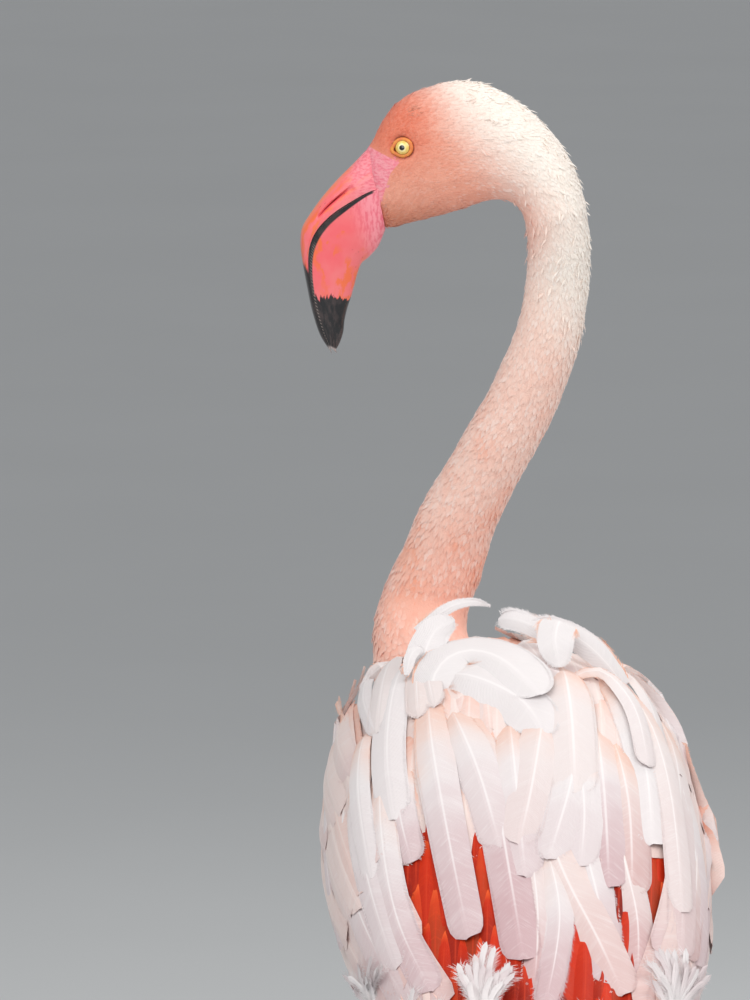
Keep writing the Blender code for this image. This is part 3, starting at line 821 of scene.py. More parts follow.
def billRelief(share, high, lean, lower):
    # how far the side stands out, in millimetres: folds on the lower half, the nostril's slot and brow on the upper
    lip = np.exp(-((high / 0.05) ** 2)) * 0.35 * min(1, max(share, 0) * 8)
    if lower:
        wrinkle = max(0.0, 1 - share / 0.3) * sin(high * 42 + share * 9) * 0.22 * (1 if abs(lean) > 0.2 else 0)
        fold = max(0.0, 1 - abs(share - 0.33) / 0.3) * sin(high * 30 - share * 26) * 0.1
        return lip + wrinkle + fold
    start, end = bill["nostril"]
    rise = high - bill["nostrilHeight"]
    slot = max(0.0, 1 - ((share - (start + end) / 2) / (end - start) * 2) ** 2) ** 0.6
    groove = slot * np.exp(-(((rise - 0.25 * (share - start)) / 0.055) ** 2))
    brow = slot * np.exp(-(((rise - 0.16) / 0.1) ** 2))
    return lip + brow * 0.5 - groove * bill["nostrilDeep"]


def makeBillHalf(name, lower):
    points, length, girth = [], [], []
    rings, around = bill["rings"], bill["around"]
    for i in range(rings):
        share = bill["root"] + (1 - bill["root"]) * i / (rings - 1)
        ridge, gape, keel, up, down = billSection(share)
        apart = (keel - ridge).normalized() * bill["apart"]
        for j in range(around + 1):
            a = pi * j / around
            if lower:
                place = gape + apart + (keel - gape) * sin(a) ** 0.75 + Vector((0, down * signed(cos(a), 0.9), 0))
            else:
                place = gape - apart + (ridge - gape) * sin(a) ** 0.85 + Vector((0, up * cos(a), 0))
            place.y += billRelief(share, sin(a), cos(a), lower) * (1 if cos(a) > 0 else -1)
            points.append(place * mm)
            length.append(share)
            girth.append(sin(a))
    wide = around + 1
    faces = gridFaces(rings, wide, flip=True)
    for i in range(rings - 1):
        faces.append((i * wide + around, (i + 1) * wide + around, (i + 1) * wide, i * wide))
    # closed at the root, and drawn to a point at the tip
    faces.append(tuple(range(wide)))
    start = (rings - 1) * wide
    faces += [(start + j, len(points), start + (j + 1) % wide) for j in range(wide)]
    points.append(sum(points[-wide:], Vector()) / wide + Vector(bill["tipPast"][lower]) * mm)
    mesh = makeMesh(name, points, faces)
    setMark(mesh, "length", [*length, 1.0])
    setMark(mesh, "girth", [*girth, 0.5])
    bm = opened(mesh)
    bmesh.ops.recalc_face_normals(bm, faces=bm.faces)
    written(bm, mesh)
    mesh.set_sharp_from_angle(angle=radians(50))
    mesh.materials.append(paintBill(f"{name}_horn", lower).material)
    return makeObject(name, mesh)


def paintBill(name, lower):
    # hot pink horn with orange blotches and dark flecks, painted shade in the nostril's slot, black edge and tip
    paint = Paint(name, Roughness=0.33, Coat_Weight=0.35, Coat_Roughness=0.25, Specular_IOR_Level=0.5)
    length, girth = paint.mark("length"), paint.mark("girth")
    streak = paint.vector(length * 0.055, girth * 0.028, paint.place.part(1))
    colour = paint.mix(paint.noise(46.0, 3.0).between(0.35, 0.65), horn["pink"], horn["paler"])
    blotch = paint.noise(120.0, 4.0, streak, 0.6)
    patch = paint.noise(45.0, 2.0, streak)
    orange = blotch.between(0.49, 0.56) * patch.between(0.38, 0.5)
    if lower:
        orange = orange * length.between(0.1, 0.3) * (1 - length.between(0.5, 0.68) * 0.6)
    colour = paint.mix(orange * 0.8, colour, horn["orange"])
    # skin at the root, with fine folds
    folds = paint.noise(700.0, 3.0, paint.stretch((1.0, 0.4, 0.35) if lower else (0.5, 1.0, 1.0)))
    root = 1 - length.between(0.06, 0.24 if lower else 0.2)
    skinTone = paint.mix(folds.between(0.36, 0.6), horn["skin"], horn["skinFold"])
    colour = paint.mix(root * (0.85 if lower else 0.7), colour, skinTone)
    flecks = paint.cells(360.0, streak).between(0.0, 0.16)
    colour = paint.mix((1 - flecks) * paint.noise(60.0, 1.0).between(0.56, 0.64), colour, horn["fleck"])
    if not lower:
        # painted shade along the nostril's slot
        slot = girth.hill(bill["nostrilHeight"] + 0.25 * (length - bill["nostril"][0]), 0.06)
        colour = paint.mix(slot * length.hill(sum(bill["nostril"]) / 2, 0.13), colour, horn["nostrilShade"])
        ridge = girth.between(0.75, 0.95) * length.between(0.05, 0.2) * (1 - length.between(0.45, 0.6))
        colour = paint.mix(ridge * 0.55, colour, horn["ridge"])
    # black cutting edge, from a little way in from the root, and black tip with a jagged border
    lip = bill["lip"] * (1.0 if lower else 0.3)
    wobble = paint.noise(90.0, 2.0, streak) * 0.012 - 0.006
    edge = 1 - (girth - lip * (0.35 + 0.65 * length.between(0.05, 0.3)) + wobble).between(-0.006, 0.006)
    edge = edge * length.between(0.02, 0.05)
    tip = 0.74 if lower else 0.63
    jag = paint.noise(230.0, 3.0, paint.vector(length * 0.006, girth * 0.05, 0.0))
    dark = (length + jag * 0.14 - 0.07 + girth * (0.19 if lower else 0.0)).between(tip, tip + 0.012).most(edge)
    # pale comb along the edge of the black
    comb = (length * 420.0).wave().between(0.2, 0.8) * girth.hill(lip * 0.78, 0.03) * length.between(0.45, 0.5)
    black = paint.mix(paint.noise(260.0, 4.0, streak).between(0.4, 0.7), horn["black"], horn["worn"])
    black = paint.mix(comb * 0.8, black, horn["comb"])
    black = paint.mix(length.between(0.965, 1.0), black, horn["point"])
    paint.colour(paint.mix(dark, colour, black))
    paint.feed("Roughness", 0.34 + root * 0.2 - dark * 0.08)
    grain = paint.noise(420.0, 4.0, streak)
    paint.bump(folds * root * 0.8 + grain * 0.25 + comb * 0.4, 0.5 * mm)
    return paint


finishPiece(makeBillHalf("bill_upper_horn", False), "upper_bill", "bill_upper")
finishPiece(makeBillHalf("bill_lower_horn", True), "lower_bill", "bill_lower")


# Claws keep their solids

def paintClaws():
    paint = Paint("claw_horn", Roughness=0.35)
    grain = paint.noise(600.0, 3.0, paint.stretch((1.0, 0.3, 1.0)))
    paint.colour(paint.mix(grain.between(0.3, 0.7), (0.03, 0.018, 0.017), (0.12, 0.07, 0.06)))
    paint.bump(grain, 0.2 * mm)
    return paint.material


clawHorn = paintClaws()
for name, node in cadNodes.items():
    if name.startswith("claw_"):
        node.material_slots[0].material = clawHorn


# Coat: tufts and small feathers grown over the skin by Geometry Nodes

tufts = dict(
    # outline of each kind from root to tip: share of the length, half width, height off the skin
    down=[(0.0, 0.0, -0.05), (0.55, 0.5, 0.015), (1.0, 0.0, 0.03)],
    body=[(0.0, 0.16, -0.04), (0.3, 0.44, 0.01), (0.62, 0.5, 0.03), (0.86, 0.38, 0.035), (1.0, 0.0, 0.025)],
    thick=0.018,
    sharp=radians(70),
)
# kind of tuft, paint, line that it is mapped round, seed, then spacing, length and width in millimetres, and stray
coats = dict(
    head_coat=("down", "fine", "neck", 3, 1.02, 4.4, 1.7, 0.22),
    neck_coat=("down", "fine", "neck", 5, 1.45, 8.6, 3.0, 0.2),
    ragged_tufts=("down", "fine", "neck", 9, 3.4, 7.0, 1.6, 0.8),
    collar_coat=("body", "soft", "body", 8, 2.2, 13, 6.5, 0.22),
    body_coat=("body", "plume", "body", 12, 3.9, 22, 12, 0.18),
    thigh_coat=("body", "plume", "thigh", 17, 2.5, 12, 5.5, 0.2),
)
coatLines = dict(neck=neckLine, body=bodyLine, thigh=np.array([(0.0, 0.03, 0.66), (0.0, 0.0, 0.5)]))


def leafShape(name, outline):
    # a thin closed leaf, one unit long, pointing along +Y with its back to +Z
    bm = bmesh.new()
    layer = bm.verts.layers.float_vector.new("leaf")
    rows = []
    for share, half, high in outline:
        places = [(0, share, high)]
        if half:
            rim = high - half * 0.05
            ridge = [(0, share, high + tufts["thick"]), (half, share, rim), (0, share, rim - tufts["thick"])]
            places = [(-half, share, rim), *ridge]
        rows.append([bm.verts.new(p) for p in places])
    for near, far in zip(rows, rows[1:]):
        for a, b in ((0, 1), (1, 2), (2, 3), (3, 0)):
            corners = [near[a], near[b]] if len(near) > 1 else [near[0]]
            bm.faces.new(corners + ([far[b], far[a]] if len(far) > 1 else [far[0]]))
    if len(rows[0]) > 1:
        bm.faces.new(rows[0][::-1])
    for vert in bm.verts:
        vert[layer] = (vert.co.x, vert.co.y, 0.0)
    bmesh.ops.recalc_face_normals(bm, faces=bm.faces)
    bmesh.ops.triangulate(bm, faces=bm.faces)
    mesh = written(bm, bpy.data.meshes.new(name))
    mesh.shade_smooth()
    mesh.set_sharp_from_angle(angle=tufts["sharp"])
    return makeObject(name, mesh)


coatInputs = dict(
    Ground="Geometry", Tuft="Object", Spacing="Float", Length="Float", Width="Float", Stray="Float", Uneven="Float",
    Seed="Int", Finish="Material",
)


def coatTree(name, scattered):
    # tufts on the mesh's faces or on its points: each lies along the mark "lie" with its back to the skin's outside
    group = bpy.data.node_groups.new(name, "GeometryNodeTree")
    group.is_modifier = True
    for label, kind in coatInputs.items():
        group.interface.new_socket(label, in_out="INPUT", socket_type=f"NodeSocket{kind}")
    group.interface.new_socket("Coat", in_out="OUTPUT", socket_type="NodeSocketGeometry")
    tree = Tree(group)
    source = group.nodes.new("NodeGroupInput")
    given = {label: Reading(tree, source.outputs[label]) for label in coatInputs}

    def named(mark, kind="FLOAT"):
        return tree.add("GeometryNodeInputNamedAttribute", dict(data_type=kind), [mark])

    def stored(geometry, mark, value, kind="FLOAT_VECTOR"):
        sockets = {"Geometry": geometry, "Name": mark, "Value": value}
        return tree.add("GeometryNodeStoreNamedAttribute", dict(data_type=kind, domain="POINT"), sockets)

    def random(low, high, salt):
        sockets = {2: low, 3: high, 8: given["Seed"] + salt}
        return tree.add("FunctionNodeRandomValue", dict(data_type="FLOAT"), sockets, out=1)

    def aligned(axis, pivot, sockets):
        settings = dict(axis=axis, pivot_axis=pivot)
        return tree.add("FunctionNodeAlignRotationToVector", settings, sockets)

    if scattered:
        spacing = given["Spacing"]
        sockets = {
            "Mesh": given["Ground"], "Distance Min": spacing, "Density Max": 2.2 / (spacing * spacing),
            "Density Factor": named("thick"), "Seed": given["Seed"],
        }
        method = dict(distribute_method="POISSON")
        dots = tree.add("GeometryNodeDistributePointsOnFaces", method, sockets)
        dots = stored(dots, "up", Reading(tree, dots.socket.node.outputs["Normal"]))
    else:
        dots = tree.add("GeometryNodeMeshToPoints", {}, {"Mesh": given["Ground"]})
    dots = stored(dots, "root", tree.add("GeometryNodeInputPosition"))
    dots = stored(dots, "tone", random(0.0, 1.0, 11), "FLOAT")
    turn = aligned("Z", "AUTO", {"Vector": named("up", "FLOAT_VECTOR")})
    turn = aligned("Y", "Z", {"Rotation": turn, "Vector": named("lie", "FLOAT_VECTOR")})
    pitch, yaw = (random(-reach, reach, salt) * given["Stray"] for reach, salt in ((0.35, 5), (1.0, 3)))
    euler = tree.add("FunctionNodeEulerToRotation", {}, [tree.add("ShaderNodeCombineXYZ", {}, [pitch, 0.0, yaw])])
    turn = tree.add("FunctionNodeRotateRotation", dict(rotation_space="LOCAL"), [turn, euler])
    long, wide = (
        given[label] * named("scale") * (1.0 + random(-1.0, 1.0, salt) * given["Uneven"])
        for label, salt in (("Length", 7), ("Width", 9))
    )
    size = tree.add("ShaderNodeCombineXYZ", {}, [wide, long, long])
    tuft = tree.add("GeometryNodeObjectInfo", {}, [given["Tuft"]], out=4)
    sockets = {"Points": dots, "Instance": tuft, "Rotation": turn, "Scale": size}
    real = tree.add("GeometryNodeRealizeInstances", {}, [tree.add("GeometryNodeInstanceOnPoints", {}, sockets)])
    painted = tree.add("GeometryNodeSetMaterial", {}, {"Geometry": real, "Material": given["Finish"]})
    end = group.nodes.new("NodeGroupOutput")
    group.links.new(painted.socket, end.inputs[0])
    return group


coatTrees = dict(scattered=coatTree("scattered coat", True), rows=coatTree("coat in rows", False))


def grow(name, ground, kind, tuft, paint, line, slot, *replaced, **sizes):
    # runs the tree on the ground mesh and keeps the result as a plain mesh
    piece = makeObject(name, ground)
    change = piece.modifiers.new("coat", "NODES")
    change.node_group = coatTrees[kind]
    values = dict(dict(Tuft=tuft, Finish=paint.material, Uneven=0.2), **sizes)
    for item in coatTrees[kind].interface.items_tree:
        if item.name in values:
            change[item.identifier] = values[item.name]
    settled(piece)
    bakeMap(piece.data, line, laidFlat["tuft"])
    for mark in ("up", "lie", "scale", "thick"):
        if mark in piece.data.attributes:
            piece.data.attributes.remove(piece.data.attributes[mark])
    finishPiece(piece, slot, *replaced)


shells = nodeCopies(["wing_left", "wing_right", "mantle", "tertials_left", "tertials_right"])
shellTree = BVHTree.FromBMesh(shells)
shells.free()


def skinGround():
    # the feathered part of the skin
    keep = opened(skin.data)
    bmesh.ops.delete(keep, geom=[f for f in keep.faces if f.material_index], context="FACES")
    bmesh.ops.delete(keep, geom=[v for v in keep.verts if not v.link_faces], context="VERTS")
    return written(keep, skin.data.copy())


def layLie(points, normals):
    # which way the feathers lie: along the neck, out from its foot, then rearwards and down the thighs
    _, y, z = points.T
    _, heading, _ = alongLine(points, neckLine)
    fromNeck = points - neckLine[-3]
    far = np.linalg.norm(fromNeck, axis=1)
    rearward = np.tile(np.array([0.03, -1.0, -0.22]), (len(points), 1))
    rearward[:, 2] -= 1.3 * ramp(y - 0.08, 0.1)
    near = np.exp(-((far / 0.07) ** 2))[:, None]
    body = fromNeck / far[:, None] * near + rearward * (1 - near)
    legward = ramp(0.655 - z, 0.03)[:, None]
    body = body * (1 - legward) + np.array([0.0, -0.25, -1.0]) * legward
    onNeck = ramp(z - 0.79 - (0.2 - y) * 0.25, 0.05)[:, None]
    lie = heading * onNeck + body * (1 - onNeck)
    lie -= normals * (lie * normals).sum(1)[:, None]
    return unit(lie)


def coatShares(points, normals):
    # for each coat, how thickly it grows and how large its tufts are; the body's doesn't grow under the folded wings
    x, y, z = points.T
    uncovered = np.ones(len(points))
    for i, place in enumerate(points):
        if 0.66 < z[i] < 0.875 and y[i] < 0.19:
            hit = shellTree.ray_cast(Vector(place), Vector(normals[i]), 30 * mm)
            uncovered[i] = hit[0] is None
    eyes = [np.array(eyeFrame(side)[0]) for side in sides]
    clear = np.min([np.linalg.norm(points - middle, axis=1) for middle in eyes], axis=0)
    head, rise = headLine(x, z), z - y * 0.3
    return dict(
        head_coat=(
            ramp(head - 1.035, 0.02) * (clear > 7.4 * mm) * (bareFace(x, z) < 0),
            0.62 + 0.38 * ramp(clear - 7 * mm, 22 * mm) - 0.2 * ramp(-0.06 - x, 0.02),
        ),
        neck_coat=(ramp(1.062 - head, 0.02) * ramp(rise - 0.765, 0.03), 0.72 + 0.28 * ramp(1.06 - z, 0.12)),
        ragged_tufts=(ramp(x + z * 0.42 - 0.462, 0.012) * (z > 0.98) * (clear > 20 * mm), 1),
        collar_coat=(
            ramp(rise - 0.655, 0.04) * ramp(0.815 - rise, 0.03) * (y > 0.04) * uncovered,
            0.42 + 0.58 * ramp(0.8 - rise, 0.08),
        ),
        body_coat=(ramp(0.745 - rise, 0.03) * (z > 0.6) * uncovered, 1),
        thigh_coat=(ramp(0.652 - z, 0.02) * (z > 0.5385), 0.75 + 0.25 * ramp(z - 0.54, 0.06)),
    )


coatColours = dict(deeper=(0.9, 0.5, 0.4), lighter=(0.985, 0.93, 0.9), tip=0.16)


def paintCoat(name, streaks):
    # the skin's own colours, each tuft a little lighter or deeper, paler at its tip; calmer on the face
    paint = Paint(name, Roughness=0.75, Sheen_Weight=0.25, Sheen_Roughness=0.5, Specular_IOR_Level=0.2)
    root, tone = paint.markVector("root"), paint.mark("tone")
    colour = plumageColour(paint, root)
    along = paint.markVector("leaf").part(1)
    colour = paint.mix(0.1 - tone.between(0.0, 0.5) * 0.1, colour, coatColours["deeper"], "MULTIPLY")
    calm = root.part(0).between(-0.045, 0.0).most(1 - root.part(2).between(1.06, 1.08)) * 0.75 + 0.25
    light = (tone.between(0.6, 1.0) * streaks + along.between(0.5, 1.0) * coatColours["tip"]) * calm
    paint.colour(paint.mix(light, colour, coatColours["lighter"]))
    paint.bump(paint.noise(1500.0, 2.0), 0.2 * mm)
    return paint


def growCoats():
    ground = skinGround()
    points, normals = (readAll(ground.vertices, key, 3).astype(float) for key in ("co", "normal"))
    setMark(ground, "lie", layLie(points, normals))
    shares = coatShares(points, normals)
    leaves = {kind: leafShape(f"tuft_{kind}", tufts[kind]) for kind in ("down", "body")}
    paints = dict(
        fine=paintCoat("down_coat", 0.28), soft=paintCoat("collar_down", 0.1), plume=paintCoat("contour_coat", 0.34),
    )
    for name, (kind, paint, line, seed, spacing, long, wide, stray) in coats.items():
        thick, scale = shares[name]
        mesh = ground.copy()
        setMark(mesh, "thick", thick)
        setMark(mesh, "scale", np.ones(len(points)) * scale)
        grow(
            name, mesh, "scattered", leaves[kind], paints[paint], coatLines[line], "pale_plumage",
            Seed=seed, Spacing=spacing * mm, Length=long * mm, Width=wide * mm, Stray=stray,
        )
    for template in leaves.values():
        bpy.data.objects.remove(template)
    bpy.data.meshes.remove(ground)


growCoats()


# Feathers with a shaft and vanes, laid one by one

class Quills:
    # gathers closed feather meshes with their marks
    def __init__(self):
        self.points, self.faces, self.count = [], [], 0
        self.marks = dict(root=[], leaf=[], barb=[], tint=[], tone=[])

    def take(self, points, faces, **marks):
        # a mark that is the same all over is given once
        self.points.append(points)
        self.faces += [tuple(self.count + k for k in face) for face in faces]
        self.count += len(points)
        for name, values in marks.items():
            whole = name in ("leaf", "barb")
            spread = values if whole else np.tile(values, (len(points), 1) if name == "root" else len(points))
            self.marks[name].append(spread)

    def piece(self, name, paint, slot, *replaced, sharp=38):
        mesh = makeMesh(name, np.concatenate(self.points), self.faces)
        for mark, values in self.marks.items():
            setMark(mesh, mark, np.concatenate(values))
        mesh.set_sharp_from_angle(angle=radians(sharp))
        mesh.materials.append(paint.material)
        bakeMap(mesh, bodyLine, laidFlat["vane"])
        finishPiece(makeObject(name, mesh), slot, *replaced)


# what a feather is made with unless its own look says otherwise; lengths in millimetres, the rest as shares
feather = dict(
    rows=20,
    columns=(-1, -0.8, -0.52, -0.24, -0.05, 0, 0.05, 0.24, 0.52, 0.8, 1),
    thick=0.4,
    shaft=0.3,  # height of the shaft over the vane
    shaftWide=0.06,
    blunt=2.0,
    base=0.4,  # width at the root
    taper=0.0,
    lean=0.0,
    camber=0.2,
    ripple=0.2,
    droop=1.2,
    pale=0.0,
    tint=0.5,
    fringe=1.3,  # length of the loose barbs
    gap=1.5,
    barbWide=0.45,
    downy=1.0,
    slant=0.9,  # how far the barbs run up on their way to the edge
    crowd=1.45,  # how much closer the rows stand at the tip
)
barb = dict(root=1.2, thick=0.07, sides=(0.02, 0.985), inset=0.93, slant=(24, 50), faces=[
    (2, 1, 0), (1, 4, 3, 0), (2, 5, 4, 1), (0, 3, 5, 2), (4, 6, 3), (5, 6, 4), (3, 6, 5),
])


def resample(line, values, shares):
    # a polyline and what goes with it, read at even shares of its length
    gaps = np.linalg.norm(np.diff(line, axis=0), axis=1)
    at = np.concatenate([[0], np.cumsum(gaps)]) / gaps.sum()
    read = lambda rows: np.stack([np.interp(shares, at, rows[:, k]) for k in range(rows.shape[1])], 1)
    return read(line), unit(read(values)), gaps.sum()


def crowded(rows):
    even = np.linspace(0, 1, rows)
    return even, 1 - (1 - even) ** feather["crowd"]


def vaneWidth(t, half, length, blunt, base):
    # half width along a vane: narrow at the base, full in the middle, rounded at the tip
    tipStart = 1 - min(0.6, half * 1.6 / length)
    rise = base + (1 - base) * np.clip(t / 0.34, 0, 1) ** 0.75
    tip = np.clip((t - tipStart) / (1 - tipStart), 0, 1)
    return half * rise * np.maximum(1 - tip**blunt, 0.004) ** (1 / blunt)


def addVane(quills, line, ups, half, look, barbs=None):
    # line runs root to tip in metres with the outward ways beside it; half is the half width in millimetres
    look = dict(feather, **look)
    rows, columns = look["rows"], np.array(look["columns"])
    _, shares = crowded(rows)
    places, outs, length = resample(np.array(line), np.array(ups), shares)
    ahead = unit(np.gradient(places, axis=0))
    across = unit(np.cross(ahead, outs))
    outs = np.cross(across, ahead)
    width = vaneWidth(shares, half * mm, length, look["blunt"], look["base"]) * (1 - look["taper"] * shares)
    tone = look.get("tone", chance.random())
    phase = chance.uniform(0, 6.28, 3)
    twist = look.get("twist", chance.uniform(-0.1, 0.1))
    pale, ripple = look["pale"], look["ripple"]
    grid, leaf, slant = [], [], []
    for r, t in enumerate(shares):
        for u in columns:
            side = 1 if u > 0 else -1
            reach = width[r] * (1 + look["lean"] * side)
            wave = sin(t * 17 + phase[0] + side) * 0.5 + sin(t * 41 + phase[1] + side * 2) * 0.25
            high = ripple * wave * abs(u) ** 2 * mm * width[r] / (half * mm) - look["camber"] * width[r] * abs(u) ** 1.7
            high += (twist * u * half * t - look["droop"] * t**5) * mm
            if abs(u) < look["shaftWide"]:
                high += look["shaft"] * mm * (1 - 0.7 * t)
                reach = max(reach, half * mm * 0.3)
            grid.append(places[r] + across[r] * u * reach + outs[r] * high)
            leaf.append((u * 0.5, pale + (1 - pale) * t, half))
            slant.append(t * length - look["slant"] * abs(u) * width[r])
    grid, wide = np.array(grid), len(columns)
    # thin at the edges and the tip
    thick = look["thick"] * mm * np.outer(1 - 0.6 * shares**3, 1 - 0.7 * columns**4).reshape(-1, 1)
    points = np.concatenate([grid, grid - np.repeat(outs, wide, axis=0) * thick])
    n, last = rows * wide, (rows - 1) * wide
    faces = gridFaces(rows, wide) + [tuple(n + k for k in face) for face in gridFaces(rows, wide, flip=True)]
    for r in range(rows - 1):
        a, e = r * wide, (r + 1) * wide
        b, f = a + wide - 1, e + wide - 1
        faces += [(a, e, n + e, n + a), (b, n + b, n + f, f)]
    for a in range(wide - 1):
        b = last + a
        faces += [(a, n + a, n + a + 1, a + 1), (b, b + 1, n + b + 1, n + b)]
    marks = dict(root=places[0], tint=look["tint"], tone=tone)
    quills.take(points, faces, leaf=np.array(leaf * 2), barb=np.array(slant * 2), **marks)
    if barbs is not None and look["fringe"]:
        addFringe(barbs, places, outs, across, ahead, width, length, look, marks)


def addFringe(barbs, places, outs, across, ahead, width, length, look, marks):
    # loose barbs along both edges, longer and softer towards the root
    count = max(6, int(length / (look["gap"] * mm)))
    ends, shares = crowded(len(places))
    for side in (-1, 1):
        for t in np.linspace(*barb["sides"], count) + chance.uniform(-0.4, 0.4, count) / count:
            at = float(np.interp(t, shares, ends)) * (len(places) - 1)
            i = min(int(max(at, 0)), len(places) - 2)
            k = at - i
            pick = lambda rows: rows[i] * (1 - k) + rows[i + 1] * k
            place, out, aside, way = pick(places), pick(outs), pick(across), pick(ahead)
            reach = pick(width) * barb["inset"]
            downy = look["downy"] * np.exp(-((t / 0.2) ** 2))
            long = look["fringe"] * mm * chance.uniform(0.35, 1.0) * (1 + 2.6 * downy)
            swing = radians(chance.uniform(*barb["slant"]) - 12 * downy)
            start = place + aside * side * reach - out * mm * (0.1 + look["camber"] * reach / mm * 0.9)
            heading = aside * side * sin(swing) + way * cos(swing)
            bend = out * chance.uniform(-0.4, 0.12) * (1 + downy) + aside * side * chance.uniform(-0.2, 0.25)
            addBarb(barbs, start, heading, bend, out, long, look["barbWide"], t, dict(marks, root=place))


def addBarb(barbs, start, heading, bend, out, long, wide, t, marks):
    # one thin curved closed barb
    side = unit(np.cross(heading, out)) * wide * mm * 0.5
    flat = out * barb["thick"] * mm
    foot = start - heading * barb["root"] * mm
    middle = start + heading * long * 0.55 + bend * long * 0.12
    tip = start + heading * long + bend * long * 0.42
    points = np.array([
        foot - side, foot + side, foot - flat * 1.5,
        middle - side * 0.72, middle + side * 0.72, middle - flat, tip,
    ])
    leaf = np.tile((0.48, t, 1.0), (len(points), 1))
    barbs.take(points, barb["faces"], leaf=leaf, barb=np.full(len(points), t * 0.1), **marks)


# Where a feather lies: over the folded wings, given on the body form or as seen from behind and a little above

drapeView = dict(
    eye=Vector((-0.0762, -4.2866, 1.6340)),
    ahead=Vector((0, cos(radians(9)), -sin(radians(9)))),
    rise=Vector((0, sin(radians(9)), cos(radians(9)))),
    reach=4.19,
    span=(3.95, 4.6),  # from before the back to past the breast
    zero=(81.2, -280.0),  # the list's zero, off the line of sight, millimetres
)
coverSheets = {}


def coverAt(lift):
    key = round(lift)
    if key not in coverSheets:
        coverSheets[key] = formSheet(form["cover"], key)
    return coverSheets[key]


def seenPlace(across, up, lift, forward=None):
    # the place on the folded wings, or at a distance forward, that is seen at across and up
    view = drapeView
    flat = view["eye"] + view["ahead"] * view["reach"]
    flat = flat + Vector((1, 0, 0)) * (across + view["zero"][0]) * mm + view["rise"] * (up + view["zero"][1]) * mm
    way = (flat - view["eye"]).normalized()
    if forward is not None:
        place = view["eye"] + way * ((forward - view["eye"].y) / way.y)
        return place, (-way + Vector((0, 0, 0.4))).normalized()
    place, normal, _, _ = coverAt(lift).ray_cast(view["eye"], way)
    if place is None:
        # past the body's edge: the nearest place to the line of sight
        tries = [view["eye"] + way * far for far in np.linspace(*view["span"], 40)]
        hits = [coverAt(lift).find_nearest(spot) for spot in tries]
        best = min(range(len(hits)), key=lambda k: hits[k][3])
        place, normal = hits[best][0], hits[best][1]
    if normal.dot(way) > 0:
        normal = -normal
    # near the body's edge a feather still shows some of its face
    return place, (normal - way * 0.3).normalized()


def smoothed(rows, times=3):
    rows = np.array(rows, float)
    for _ in range(times):
        rows[1:-1] = rows[1:-1] * 0.4 + (rows[:-2] + rows[2:]) * 0.3
    return rows


def seenLine(path, lift, forward=None, count=22):
    # a smooth line through places given as seen, root first
    start, end = lift
    line, ups = [], []
    for i in range(count):
        t = i / (count - 1)
        across, up = through(path, t)
        depth = None if forward is None else forward[0] + (forward[1] - forward[0]) * t
        # over its first fifth the feather rises from under its neighbours
        place, normal = seenPlace(across, up, end, depth)
        line.append(np.array(place - normal * (end - start) * (1 - min(1.0, t * 5)) * mm))
        ups.append(np.array(normal))
    return smoothed(line), unit(smoothed(ups, 6))


def formLine(rows, start, end, lift, bow=0.0, count=14):
    # a line on a body form from one share and angle to another, in degrees
    line, ups = [], []
    for t in np.linspace(0, 1, count):
        share = start[0] + (end[0] - start[0]) * t
        angle = radians(start[1] + (end[1] - start[1]) * t + bow * 4 * t * (1 - t))
        high = lift[0] + (lift[1] - lift[0]) * t
        spot = lambda further, aside: np.array(onForm(rows, min(share + further, 1), angle + aside, high))
        along, aside = spot(0.01, 0) - spot(-0.01, 0), spot(0, 0.02) - spot(0, -0.02)
        line.append(spot(0, 0))
        out = unit(np.cross(aside, along))
        ups.append(out if np.dot(out, line[-1] - formMiddle(rows, share)) >= 0 else -out)
    return smoothed(line, 1), unit(smoothed(ups, 2))


def paintVane(name, root, middle, tip, streak, shaft, rough=0.6, sheen=0.2, spread=(0.0, 0.2, 0.5, 1.0)):
    # colours from root to tip, fine barbs slanting off a pale shaft, and a tint of its own for each feather, which
    # darkens the white and coral feathers' tips partly as their own colour and partly as painted shade
    paint = Paint(name, Roughness=rough, Sheen_Weight=sheen, Sheen_Roughness=0.4, Specular_IOR_Level=0.2)
    leaf = paint.markVector("leaf")
    barb, tint, tone = (paint.mark(mark) for mark in ("barb", "tint", "tone"))
    aside, along = abs(leaf.part(0)) * 2.0, leaf.part(1)
    cloud = paint.noise(34.0, 3.0)
    shade = (along + cloud * 0.3 - 0.15 - aside * 0.06).between(*spread[:2])
    colour = paint.mix(shade, root, middle)
    # towards the tip, by each feather's tint: on the white and coral feathers partly their own colour, partly painted
    # shade
    colour = paint.mix((along + cloud * 0.36 - 0.18).between(*spread[2:]) * tint, colour, tip)
    colour = paint.mix(tone.between(0.5, 1.0) * 0.22, colour, root)
    lines = paint.vector(barb * 900.0, tone * 40.0, aside * 1.4)
    fine = paint.noise(1.0, 3.0, lines, 0.6)
    wide = paint.noise(0.13, 2.0, lines)
    colour = paint.mix(fine.between(0.5, 0.72) * 0.25 + wide.between(0.55, 0.7) * 0.14, colour, streak)
    ribs = (barb * 5200.0).wave() * 0.5 + 0.5
    colour = paint.mix(ribs * 0.05, colour, streak)
    quill = (1 - aside.between(0.02, 0.08)) * (1 - along.between(0.7, 1.0)) * along.between(0.1, 0.4)
    paint.colour(paint.mix(quill * 0.55, colour, shaft))
    paint.bump((fine * 0.6 + ribs * 0.4) * aside.between(0.05, 0.2), 0.3 * mm, 0.8)
    return paint


# Plumes over the back, root first, as seen from behind: across and up, width and lift off the body, in millimetres

